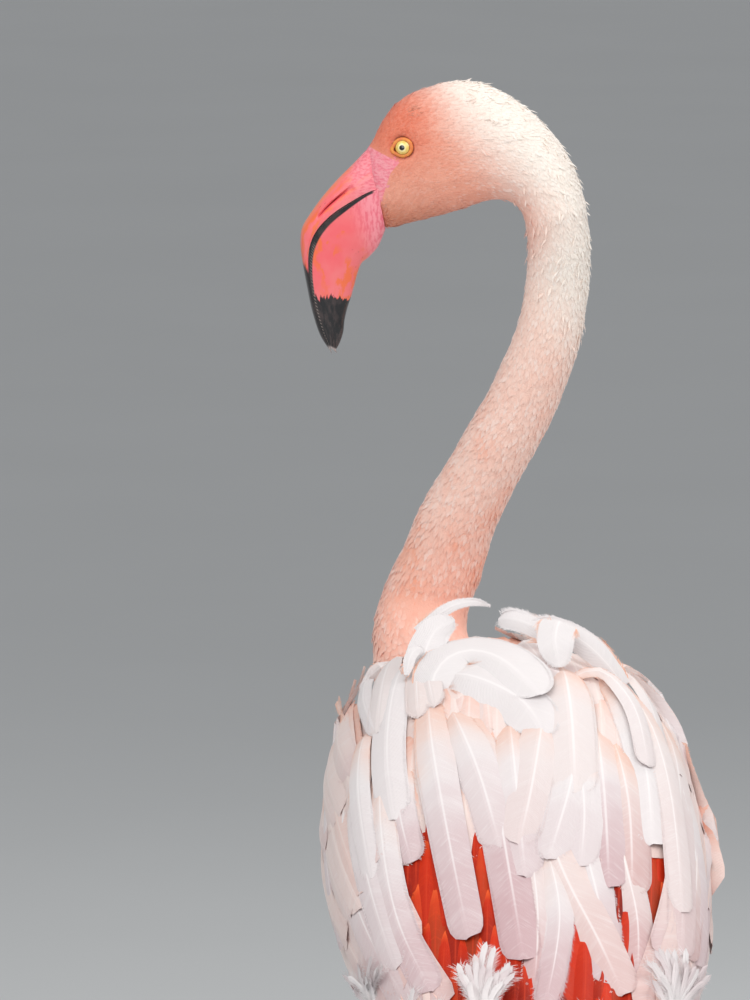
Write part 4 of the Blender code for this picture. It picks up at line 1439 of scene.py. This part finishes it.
ragged = dict(fringe=2.8, gap=0.6, downy=1.6, blunt=1.5)
drape = dict(
    left=[
        ([(-92, 150), (-100, 95), (-89, 45), (-62, -4)], 21, 9.2, dict(tint=0.6, downy=0.5)),
        ([(-97, 165), (-107, 120), (-108, 70), (-100, 30)], 16, 9.4, dict(tint=0.5)),
        ([(-84, 158), (-92, 110), (-84, 62), (-70, 18)], 18, 9.8, dict(tint=0.4)),
        ([(-79, 140), (-78, 95), (-69, 45), (-50, 6)], 19, 9.4, dict(tint=0.8)),
        ([(-87, 158), (-91, 120), (-84, 69)], 15, 11.2, dict(tint=0.15)),
        ([(-68, 140), (-68, 108), (-61, 78)], 19, 7.4, dict(tint=0.7, fringe=3.4, gap=0.9, ripple=0.5)),
        ([(-88, 176), (-100, 156), (-106, 125), (-105, 92)], 13, 8.4, dict(pale=0.3, tint=0.25)),
    ],
    rearRight=[
        ([(86, 152), (100, 114), (103, 70), (101, 20)], 19, 8.6, dict(tint=0.7)),
        ([(93, 120), (99, 80), (95, 24)], 18, 9.6, dict(tint=0.8)),
        ([(82, 150), (93, 110), (100, 66), (100, 20)], 18, 9.9, dict(tint=0.7)),
        ([(66, 176), (86, 142), (91, 90), (91, 26)], 20, 10.4, dict(tint=0.6)),
        ([(40, 190), (68, 166), (83, 124), (89, 78), (91, 50)], 17, 11.4, dict(tint=0.25)),
    ],
    lower=[
        ([(8, 116), (24, 72), (43, 36), (58, 4)], 27, 5.8, dict(tint=0.7, ripple=0.5)),
        ([(26, 118), (40, 72), (47, 40), (50, 10)], 23, 4.9, dict(tint=0.8)),
        ([(12, 96), (22, 56), (20, 26), (14, -2)], 16, 6.4, dict(tint=0.9, fringe=4.0, gap=0.8, ripple=0.6)),
        ([(4, 96), (10, 50), (8, 8)], 17, 5.2, dict(tint=1.0)),
        ([(50, 112), (60, 72), (66, 44), (66, 12)], 19, 4.6, dict(tint=1.0)),
    ],
    hanging=[
        ([(-52, 176), (-50, 148), (-41, 96), (-29, 36)], 26, 7.6, dict(tint=0.8, blunt=2.8, taper=0.22, downy=2.0)),
        ([(-38, 174), (-17, 128), (-7, 78), (2, 24)], 27, 6.8, dict(tint=1.0, blunt=3.0, taper=0.12, downy=2.4)),
        ([(-40, 168), (-23, 128), (-11, 86)], 25, 8.0, dict(tint=0.45, downy=2.4)),
        ([(-6, 160), (-2, 120), (3, 70)], 24, 7.6, dict(tint=0.5)),
        ([(14, 168), (10, 140), (5, 112), (-1, 88)], 25, 8.6, dict(tint=0.3)),
        ([(32, 150), (28, 120), (16, 80)], 24, 8.0, dict(tint=0.3)),
        ([(30, 150), (36, 110), (34, 76)], 22, 7.4, dict(tint=0.3, ripple=0.5)),
        ([(42, 160), (47, 118), (50, 64)], 27, 6.0, dict(tint=0.9)),
        ([(52, 150), (61, 110), (63, 60)], 25, 5.6, dict(tint=0.9)),
        ([(24, 192), (29, 158), (31, 117)], 30, 8.8, dict(tint=0.05, blunt=2.5)),
        ([(44, 186), (60, 164), (71, 128), (74, 88)], 25, 8.4, dict(tint=0.1)),
    ],
    shoulder=[
        ([(-60, 196), (-70, 178), (-75, 140), (-71, 102)], 22, 8.6, dict(pale=0.36, tint=0.1)),
        ([(-66, 200), (-76, 182), (-81, 150)], 18, 9.6, dict(pale=0.36, tint=0.05)),
        ([(-86, 186), (-97, 172), (-102, 157), (-98, 143)], 10, 9.0, dict(pale=0.36, tint=0.25)),
        ([(-64, 201), (-79, 191), (-86, 180), (-88, 167), (-81, 151)], 12, 10.4, dict(pale=0.36, tint=0.1)),
        ([(-57, 192), (-58, 176), (-57, 159)], 15, 7.8, dict(ragged, pale=0.2, tint=0.05)),
        ([(-52, 192), (-51, 178), (-48, 165)], 14, 8.1, dict(ragged, pale=0.2, tint=0.05)),
        ([(-47, 184), (-32, 183), (-14, 177), (4, 166), (13.5, 149)], 34, 9.0,
         dict(pale=0.3, tint=0.05, tone=0, fringe=2.6, gap=0.6, downy=2.4)),
        ([(-54, 176), (-46, 188), (-32, 196), (-17, 194.5), (-4, 187), (11, 172)], 41, 12.6,
         dict(pale=0.42, tint=0.0, tone=0, camber=0.2, base=0.5, fringe=2.0, gap=0.6, downy=2.2)),
        ([(-14, 206), (0, 203), (14, 186), (18, 160)], 18, 7.4, dict(pale=0.36, tint=0.25)),
        ([(31, 187), (45, 185), (56, 176), (66, 160), (72, 132)], 14, 10.6, dict(pale=0.28, tint=0.15)),
        ([(40, 192), (54, 187), (66, 177), (76, 158), (82, 130)], 13, 10.2, dict(pale=0.2, tint=0.12)),
        ([(44, 197), (58, 191), (70, 181), (82, 161), (89, 136)], 13, 9.8, dict(pale=0.15, tint=0.3)),
        ([(50, 194), (68, 183), (83, 163), (92, 134), (95, 108)], 13, 8.6, dict(pale=0.36, tint=0.45)),
    ],
    curls=[  # these stand off the back: forward gives the distance of root and tip
        ([(-57, 206), (-46, 216), (-38, 221), (-30, 223), (-22.5, 223), (-16, 220.5)], 10, 0,
         dict(pale=0.65, forward=(0.07, 0.085), base=0.8, taper=0.7, blunt=1.1, fringe=1.4)),
        ([(-55, 176), (-54, 192), (-50, 203), (-45, 209.5), (-36, 213)], 26, 0,
         dict(pale=0.6, forward=(0.038, 0.062), camber=0.18, base=0.85, taper=0.4, blunt=2.3, fringe=2.0, downy=1.5)),
        ([(-63.5, 182), (-62, 191), (-59, 196), (-54, 198)], 7, 0,
         dict(pale=0.6, forward=(0.028, 0.04), camber=0.25, fringe=1.0, gap=1.5)),
        ([(18, 204), (7, 210), (-4, 214), (-12.5, 214.5)], 13, 0,
         dict(pale=0.65, forward=(0.055, 0.07), camber=0.25, base=0.9, blunt=2.6, fringe=3.6, gap=0.45)),
        ([(58, 176), (49, 188), (38, 199), (25, 206.5), (6, 212)], 16, 0,
         dict(pale=0.5, forward=(0.05, 0.06), camber=0.3, base=0.6, blunt=1.8, fringe=2.0)),
        ([(22, 212), (20, 206), (20, 199), (22.5, 187)], 24, 0,
         dict(pale=0.65, forward=(0.05, 0.026), camber=0.16, base=0.95, taper=0.2, blunt=2.2, fringe=2.4, gap=0.5)),
    ],
    # height of a row's roots and the length of its feathers
    underRows=[(206, 52), (186, 56), (164, 58), (140, 56), (118, 46)],
    underReach=(-98, 104, 14),  # from, to and step across
    coralRows=[(118, 56), (94, 56), (70, 54), (46, 50), (22, 44)],
    coralReach=(-84, 98, 9.5),
    coralLook=dict(rows=12, fringe=1.4, gap=2.4, camber=0.35),
    cape=dict(rows=6, front=0.15, apart=0.055, step=10.5, widest=76),
    sides=[  # lowest and highest angle, first and last share of the cover, lift
        (64, 108, 0.44, 0.95, 7.4), (58, 100, 0.36, 0.86, 9.0), (60, 96, 0.3, 0.72, 10.4), (62, 92, 0.25, 0.56, 10.8),
    ],
    sideStep=8.5,
    plain=(-1, -0.6, -0.06, 0.06, 0.6, 1),  # columns of the simpler vanes
)


def layHeroes():
    # the plumes that are seen whole
    plumes, barbs = Quills(), Quills()
    for group in ("left", "rearRight", "lower", "hanging", "shoulder", "curls"):
        usual = dict(tint=0.0, pale=0.14)
        if group == "curls":
            usual.update(tone=0, gap=0.6)
        for path, wide, lift, look in drape[group]:
            line, ups = seenLine(path, (min(lift, 2.0), lift), look.get("forward"))
            addVane(plumes, line, ups, wide / 2, dict(usual, **look), barbs)
    return plumes, barbs


def layUnder(plumes, barbs):
    # paler feathers fill the back under them
    for height, long in drape["underRows"]:
        for across in np.arange(*drape["underReach"]):
            if height < 130 and -66 < across < 78 or abs(across - 4) > 101 - (height - 118) ** 2 * 0.0078:
                continue  # over the coral, or past the body's edge
            a = across + chance.uniform(-3, 3)
            up = height + chance.uniform(-4, 4) - (a / 32) ** 2 * 1.5
            path = [(a, up), (a * 1.05, up - long * 0.5), (a * 1.06, up - long)]
            line, ups = seenLine(path, (3.6, 5.0), count=12)
            look = dict(rows=10, columns=drape["plain"], tint=chance.uniform(0.1, 0.6), gap=3.2)
            addVane(plumes, line, ups, chance.uniform(11, 14), look, barbs)


def layCape(plumes, barbs):
    # shoulder feathers over the front of the back
    cape = drape["cape"]
    for row in range(cape["rows"]):
        for k in range(-8, 9):
            angle = (k + (row % 2) * 0.5) * cape["step"] + chance.uniform(-2, 2)
            if abs(angle) > cape["widest"]:
                continue
            start = (cape["front"] + row * cape["apart"] + 0.02 * (abs(angle) / 60) ** 2, angle)
            end = (start[0] + 0.12 + row * 0.008, angle * 1.06)
            line, ups = formLine(form["cover"], start, end, (2.6, 3.8 + row * 0.4))
            look = dict(rows=10, droop=2.0, pale=0.1, columns=drape["plain"], tint=chance.uniform(0, 0.5), gap=3.2)
            addVane(plumes, line, ups, chance.uniform(11, 14), look, barbs)


def laySides(plumes, barbs):
    # the long ones down the sides to the tail
    for side in (-1, 1):
        for low, high, begin, finish, lift in drape["sides"]:
            for angle in np.arange(low, high, drape["sideStep"]):
                a = angle + chance.uniform(-2.5, 2.5)
                first = begin + chance.uniform(-0.015, 0.015)
                last = finish - 0.1 * ((a - 80) / 25) ** 2 * 0.4 + chance.uniform(-0.02, 0.02)
                ends = (first, side * a * 0.96), (last, side * (a - 6 - 8 * (finish > 0.9)))
                line, ups = formLine(form["cover"], *ends, (lift - 2.2, lift), side * 4)
                tint = 0.3 + 0.3 * (finish > 0.8) + chance.uniform(-0.15, 0.2)
                look = dict(rows=16, pale=0.2, tint=tint, gap=2.8)
                addVane(plumes, line, ups, chance.uniform(9.5, 12), look, barbs)


def layCoral():
    # the vivid coverts that show between the plumes
    coral = Quills()
    for row, (height, long) in enumerate(drape["coralRows"]):
        for across in np.arange(*drape["coralReach"]):
            a = across + (row % 2) * drape["coralReach"][2] / 2 + chance.uniform(-2, 2)
            up = height + chance.uniform(-4, 4)
            if abs(a - 5) > 62 + max(up, 0) * 0.25:
                continue  # too far to the side
            path = [(a, up), (a * 1.02, up - long * 0.5), (a * 1.01 - 1, up - long)]
            line, ups = seenLine(path, (2.2, 4.0), count=12)
            if max(place[1] for place in line) > 0:
                continue  # past the rear, on the belly
            look = dict(drape["coralLook"], columns=drape["plain"], tint=chance.uniform(0, 1))
            addVane(coral, line, ups, chance.uniform(7.5, 9.5), look, coral)
    return coral


primaries = dict(
    count=8, half=7.2,
    # the first feather's value and the step to the last
    startShare=(0.69, 0.03), startAngle=(66, 28), endShare=(0.985, -0.045), endAngle=(37, 34),
    lift=((-3.4, 0.3), (-1.6, 0.35)),
)


def layPrimaries():
    quills = Quills()
    p = primaries
    for side in (-1, 1):
        for k in range(p["count"]):
            t = k / (p["count"] - 1)
            start = (p["startShare"][0] + p["startShare"][1] * t, side * (p["startAngle"][0] + p["startAngle"][1] * t))
            end = (p["endShare"][0] + p["endShare"][1] * t**2, side * (p["endAngle"][0] + p["endAngle"][1] * t))
            line, ups = formLine(form["cover"], start, end, [low + step * k for low, step in p["lift"]])
            look = dict(tint=chance.uniform(0, 1), fringe=0, lean=0.25 * side, camber=0.15, base=0.7)
            addVane(quills, line, ups, p["half"], look)
    return quills


tail = dict(count=12, half=8.2, root=(19, -160, 696), spread=20, long=122, drop=44, arch=8, stack=1.6)


def tailPlace(u, t, lift):
    # across the fan from -1 to 1 and along it from 0 to 1, in millimetres
    wide, forward, level = tail["root"]
    return Vector((
        u * (wide + tail["spread"] * t), forward - tail["long"] * t * (1 - 0.13 * u * u),
        level - tail["drop"] * t - tail["arch"] * u * u * (0.5 + t) + lift,
    ))


def layTail():
    quills = Quills()
    shift = Vector((*form["shift"], 0))
    middle = (tail["count"] - 1) / 2
    for k in range(tail["count"]):
        u = (k - middle) / middle
        lift = tail["stack"] * (1 - abs(u))
        line = [np.array((turned(tailPlace(u, t, lift)) + shift) * mm) for t in np.linspace(0, 1, 14)]
        ups = [np.array(turned(Vector((u * 0.25, -0.3, 0.92)).normalized()))] * len(line)
        look = dict(tint=0.35 + 0.4 * chance.random(), fringe=1.4, lean=-0.2 * np.sign(u))
        addVane(quills, line, ups, tail["half"], look, quills)
    return quills


# Downy feathers that break out low on the rear

downs = dict(
    clumps=[  # middle across and up, reach across, height, count
        (-17, -16, 17, 54, 18), (80, -16, 15, 58, 18), (-77, -6, 10, 46, 12), (-54, -26, 15, 36, 8),
        (38, -28, 15, 34, 8),
    ],
    look=dict(
        rows=9, columns=(-1, -0.5, 0, 0.5, 1), fringe=6.5, gap=0.85, barbWide=0.34, ripple=0.9, droop=-2.0, downy=0.3,
    ),
    half=1.7,
    stand=(1.5, 8.0),  # how far root and tip stand off the body
)


def layDowns():
    # each clump is a sheaf of soft plumes that spring up and curl outwards
    down = Quills()
    for across, up, reach, tall, count in downs["clumps"]:
        for k in range(count):
            aside = (k + 0.5) / count * 2 - 1 + chance.uniform(-0.15, 0.15)
            high = tall * (1 - 0.3 * abs(aside)) * chance.uniform(0.5, 1.0)
            curl = chance.uniform(2.0, 6.0) * (1 if across < 0 else -1)
            line, ups = [], []
            for t in np.linspace(0, 1, 9):
                bow = aside * reach * (0.5 * t + 0.5 * t**2) - curl * sin(t * 2.9)
                place, normal = seenPlace(across + bow, up + high * (t - 0.2 * t**3), 4)
                off = downs["stand"][0] + downs["stand"][1] * t + chance.uniform(0, 1.5)
                line.append(np.array(place + normal * off * mm))
                ups.append(np.array(normal))
            look = dict(downs["look"], tint=chance.uniform(0.0, 0.5))
            addVane(down, smoothed(line, 2), unit(smoothed(ups, 4)), downs["half"], look, down)
    return down


# colours of the feathers from root to tip, their barbs and shafts, and where root, middle and tip meet
tones = dict(
    white=dict(
        # the tips greyer and darker pink than the middle: partly their own blush, partly painted shade on the hanging
        # plumes
        root=(0.82, 0.46, 0.33), middle=(0.79, 0.755, 0.76), tip=(0.58, 0.39, 0.41), streak=(0.86, 0.83, 0.83),
        shaft=(0.9, 0.87, 0.87), spread=(0.02, 0.5, 0.3, 0.9),
    ),
    coral=dict(
        # the tips almost black red: partly the coverts' own deeper red, partly painted shade
        root=(0.92, 0.15, 0.035), middle=(0.62, 0.026, 0.003), tip=(0.13, 0.002, 0.001), streak=(0.8, 0.07, 0.012),
        shaft=(0.6, 0.045, 0.012), spread=(0.0, 0.25, 0.0, 0.7), sheen=0.0,
    ),
    black=dict(
        root=(0.05, 0.03, 0.03), middle=(0.012, 0.011, 0.013), tip=(0.02, 0.016, 0.016), streak=(0.045, 0.04, 0.042),
        shaft=(0.05, 0.04, 0.038), rough=0.4,
    ),
    covert=dict(
        root=(0.85, 0.45, 0.34), middle=(0.93, 0.76, 0.71), tip=(0.88, 0.24, 0.13), streak=(0.96, 0.86, 0.82),
        shaft=(0.95, 0.75, 0.68), spread=(0.0, 0.25, 0.15, 0.7),
    ),
)
tones["back"] = dict(
    tones["white"], root=(0.84, 0.42, 0.3), middle=(0.84, 0.7, 0.66), shaft=(0.86, 0.76, 0.72),
    spread=(0.0, 0.6, 0.5, 1.1),
)
tones["tail"] = dict(tones["white"], root=(0.84, 0.34, 0.24), spread=(0.0, 0.5, 0.5, 1.0))
tones["down"] = dict(tones["white"], root=(0.86, 0.8, 0.79))
barbSharp = 40


def dressBack():
    vanes = lambda name, tone: paintVane(name, **tones[tone])
    plumes, barbs = layHeroes()
    replaced = ("mantle", "plume_left", "plume_right")
    plumes.piece("hero_plumes", vanes("white_vanes", "white"), "white_plumes", *replaced)
    barbs.piece("hero_barbs", vanes("white_barbs", "white"), "white_plumes", sharp=barbSharp)
    plumes, barbs = Quills(), Quills()
    for lay in (layUnder, layCape, laySides):
        lay(plumes, barbs)
    plumes.piece("back_plumes", vanes("back_vanes", "back"), "white_plumes", "tertials_left", "tertials_right")
    barbs.piece("plume_barbs", vanes("back_barbs", "back"), "white_plumes", sharp=barbSharp)
    layCoral().piece("coral_coverts", vanes("coral_vanes", "coral"), "coral_coverts")
    black = vanes("black_vanes", "black")
    layPrimaries().piece("black_primaries", black, "black_quills", "primaries_left", "primaries_right")
    layTail().piece("tail_feathers", vanes("tail_vanes", "tail"), "white_plumes", "tail")
    layDowns().piece("downy_feathers", vanes("down_vanes", "down"), "white_plumes", sharp=barbSharp)


dressBack()


# Wing coverts in rows down each side, by Geometry Nodes

wing = dict(
    rows=21,
    front=0.17,
    rear=0.84,
    top=(30, 60),  # highest angle at the front and at the rear
    topTurn=(0.3, 0.35),  # share at which it starts to change, and over how much
    low=(98, 118, 100),  # lowest angle at the front, the middle and the rear
    step=7.0,
    length=(21, 44),  # millimetres, at the front and at the rear
    lift=(3.4, 6.4),
    look=dict(
        rows=8, columns=(-1, -0.6, -0.07, 0.07, 0.6, 1), thick=0.0375 / mm, shaft=0.012 / mm, camber=0.12, ripple=0,
        twist=0, droop=0, base=0.5,
    ),
)


def makeCovert():
    # one feather, a metre long, to be scaled by the tree
    shape = Quills()
    line = np.array([(0, t, 0.05 * sin(t * 2.2) - 0.01) for t in np.linspace(0, 1, 8)])
    addVane(shape, line, np.tile((0, 0, 1.0), (8, 1)), 0.5 / mm, wing["look"])
    mesh = makeMesh("covert", shape.points[0], shape.faces)
    setMark(mesh, "leaf", np.array(shape.marks["leaf"][0]) * (1, 1, 0))
    setMark(mesh, "barb", shape.marks["barb"][0] * 0.035)
    mesh.set_sharp_from_angle(angle=radians(60))
    return makeObject("covert", mesh)


def growWings():
    covert = makeCovert()
    blend = lambda ends, share: ends[0] + (ends[1] - ends[0]) * share
    points, ups, lies, sizes, tints = [], [], [], [], []
    for side in (-1, 1):
        for r in range(wing["rows"]):
            along = r / (wing["rows"] - 1)
            early, mid, late = wing["low"]
            low = early * (1 - along) ** 2 + (4 * mid - early - late) * along * (1 - along) + late * along**2
            turn, reach = wing["topTurn"]
            top = blend(wing["top"], min(max((along - turn) / reach, 0), 1))
            for angle in np.arange(top + (r % 2) * wing["step"] / 2, min(low, mid), wing["step"]):
                a = angle + chance.uniform(-1.4, 1.4)
                share = blend((wing["front"], wing["rear"]), along)
                share = share + chance.uniform(-0.005, 0.005) + 0.03 * ((a - 70) / 50) ** 2
                high = blend(wing["lift"], along)
                start, end = (share, side * a), (share + 0.03, side * (a - 2.5))
                line, out = formLine(form["cover"], start, end, (high - 3.2, high - 2.6), count=3)
                points.append(line[0])
                ups.append(out[0])
                lies.append(unit(line[2] - line[0]))
                sizes.append(blend(wing["length"], along) * mm)
                flush = np.exp(-(((a - 86) / 22) ** 2)) * np.sin(pi * min(1, along * 1.25))
                tints.append(np.clip(0.15 + 0.7 * flush + chance.uniform(-0.12, 0.12), 0, 1))
    mesh = makeMesh("wing_coverts", points, [])
    for mark, values in dict(up=ups, lie=lies, scale=sizes, tint=tints).items():
        setMark(mesh, mark, values)
    grow(
        "wing_coverts", mesh, "rows", covert, paintVane("covert_vanes", **tones["covert"]), bodyLine, "coral_coverts",
        "wing_left", "wing_right", Seed=21, Length=1.0, Width=0.52, Stray=0.06, Uneven=0.08,
    )
    bpy.data.objects.remove(covert)


growWings()


# Floor, light and camera

studio = dict(
    floor=(0.56, 0.58, 0.59),
    floorReach=40.0,
    aim=(-0.0762, 0.158, 0.930),
    down=radians(9),
    distance=4.5,
    lens=269.6,
    lightAim=(0, 0.1, 0.85),
    lights=[  # name, place, size, power and colour
        ("key", (-0.9, -1.2, 2.9), (2.2, 2.2), 30, (1, 0.985, 0.96)),
        ("fill", (1.8, -0.8, 2.6), (2.0, 2.0), 24, (1, 0.98, 0.96)),
        ("front", (-0.2, -3.4, 2.0), (2.4, 2.4), 36, (1, 0.985, 0.97)),
        ("rim", (0.8, 2.4, 2.6), (1.6, 1.2), 34, (1, 0.98, 0.95)),
    ],
    sky=(0.94, 0.94, 0.95),
    skyStrength=0.47,
)


def makeFloor():
    reach = studio["floorReach"]
    corners = [(x * reach, y * reach, 0) for x, y in ((-1, -1), (1, -1), (1, 1), (-1, 1))]
    floor = makeObject("floor", makeMesh("floor", corners, [(0, 1, 2, 3)], smooth=False))
    paint = Paint("floor_paint", Roughness=0.8)
    shade = tuple(c * 1.06 for c in studio["floor"])
    paint.colour(paint.mix(paint.noise(2.0, 4.0), studio["floor"], shade))
    floor.data.materials.append(paint.material)


def point(item, way):
    item.rotation_euler = way.to_track_quat("-Z", "Y").to_euler()


def makeStudio():
    makeFloor()
    for name, place, size, power, colour in studio["lights"]:
        light = bpy.data.lights.new(name, "AREA")
        light.shape = "RECTANGLE"
        light.size, light.size_y = size
        light.energy = power
        light.color = colour
        lamp = makeObject(name, light)
        lamp.location = place
        point(lamp, Vector(studio["lightAim"]) - Vector(place))
    world = bpy.data.worlds.new("studio")
    bpy.context.scene.world = world
    world.use_nodes = True
    sky = world.node_tree.nodes["Background"].inputs
    sky["Strength"].default_value = studio["skyStrength"]
    sky["Color"].default_value = (*studio["sky"], 1)
    lens = bpy.data.cameras.new("camera")
    lens.lens, lens.sensor_width = studio["lens"], 36
    lens.clip_end = 200
    camera = makeObject("camera", lens)
    ahead = Vector((0, cos(studio["down"]), -sin(studio["down"])))
    camera.location = Vector(studio["aim"]) - ahead * studio["distance"]
    point(camera, ahead)
    bpy.context.scene.camera = camera


bpy.context.scene.view_settings.view_transform = "Standard"
makeStudio()
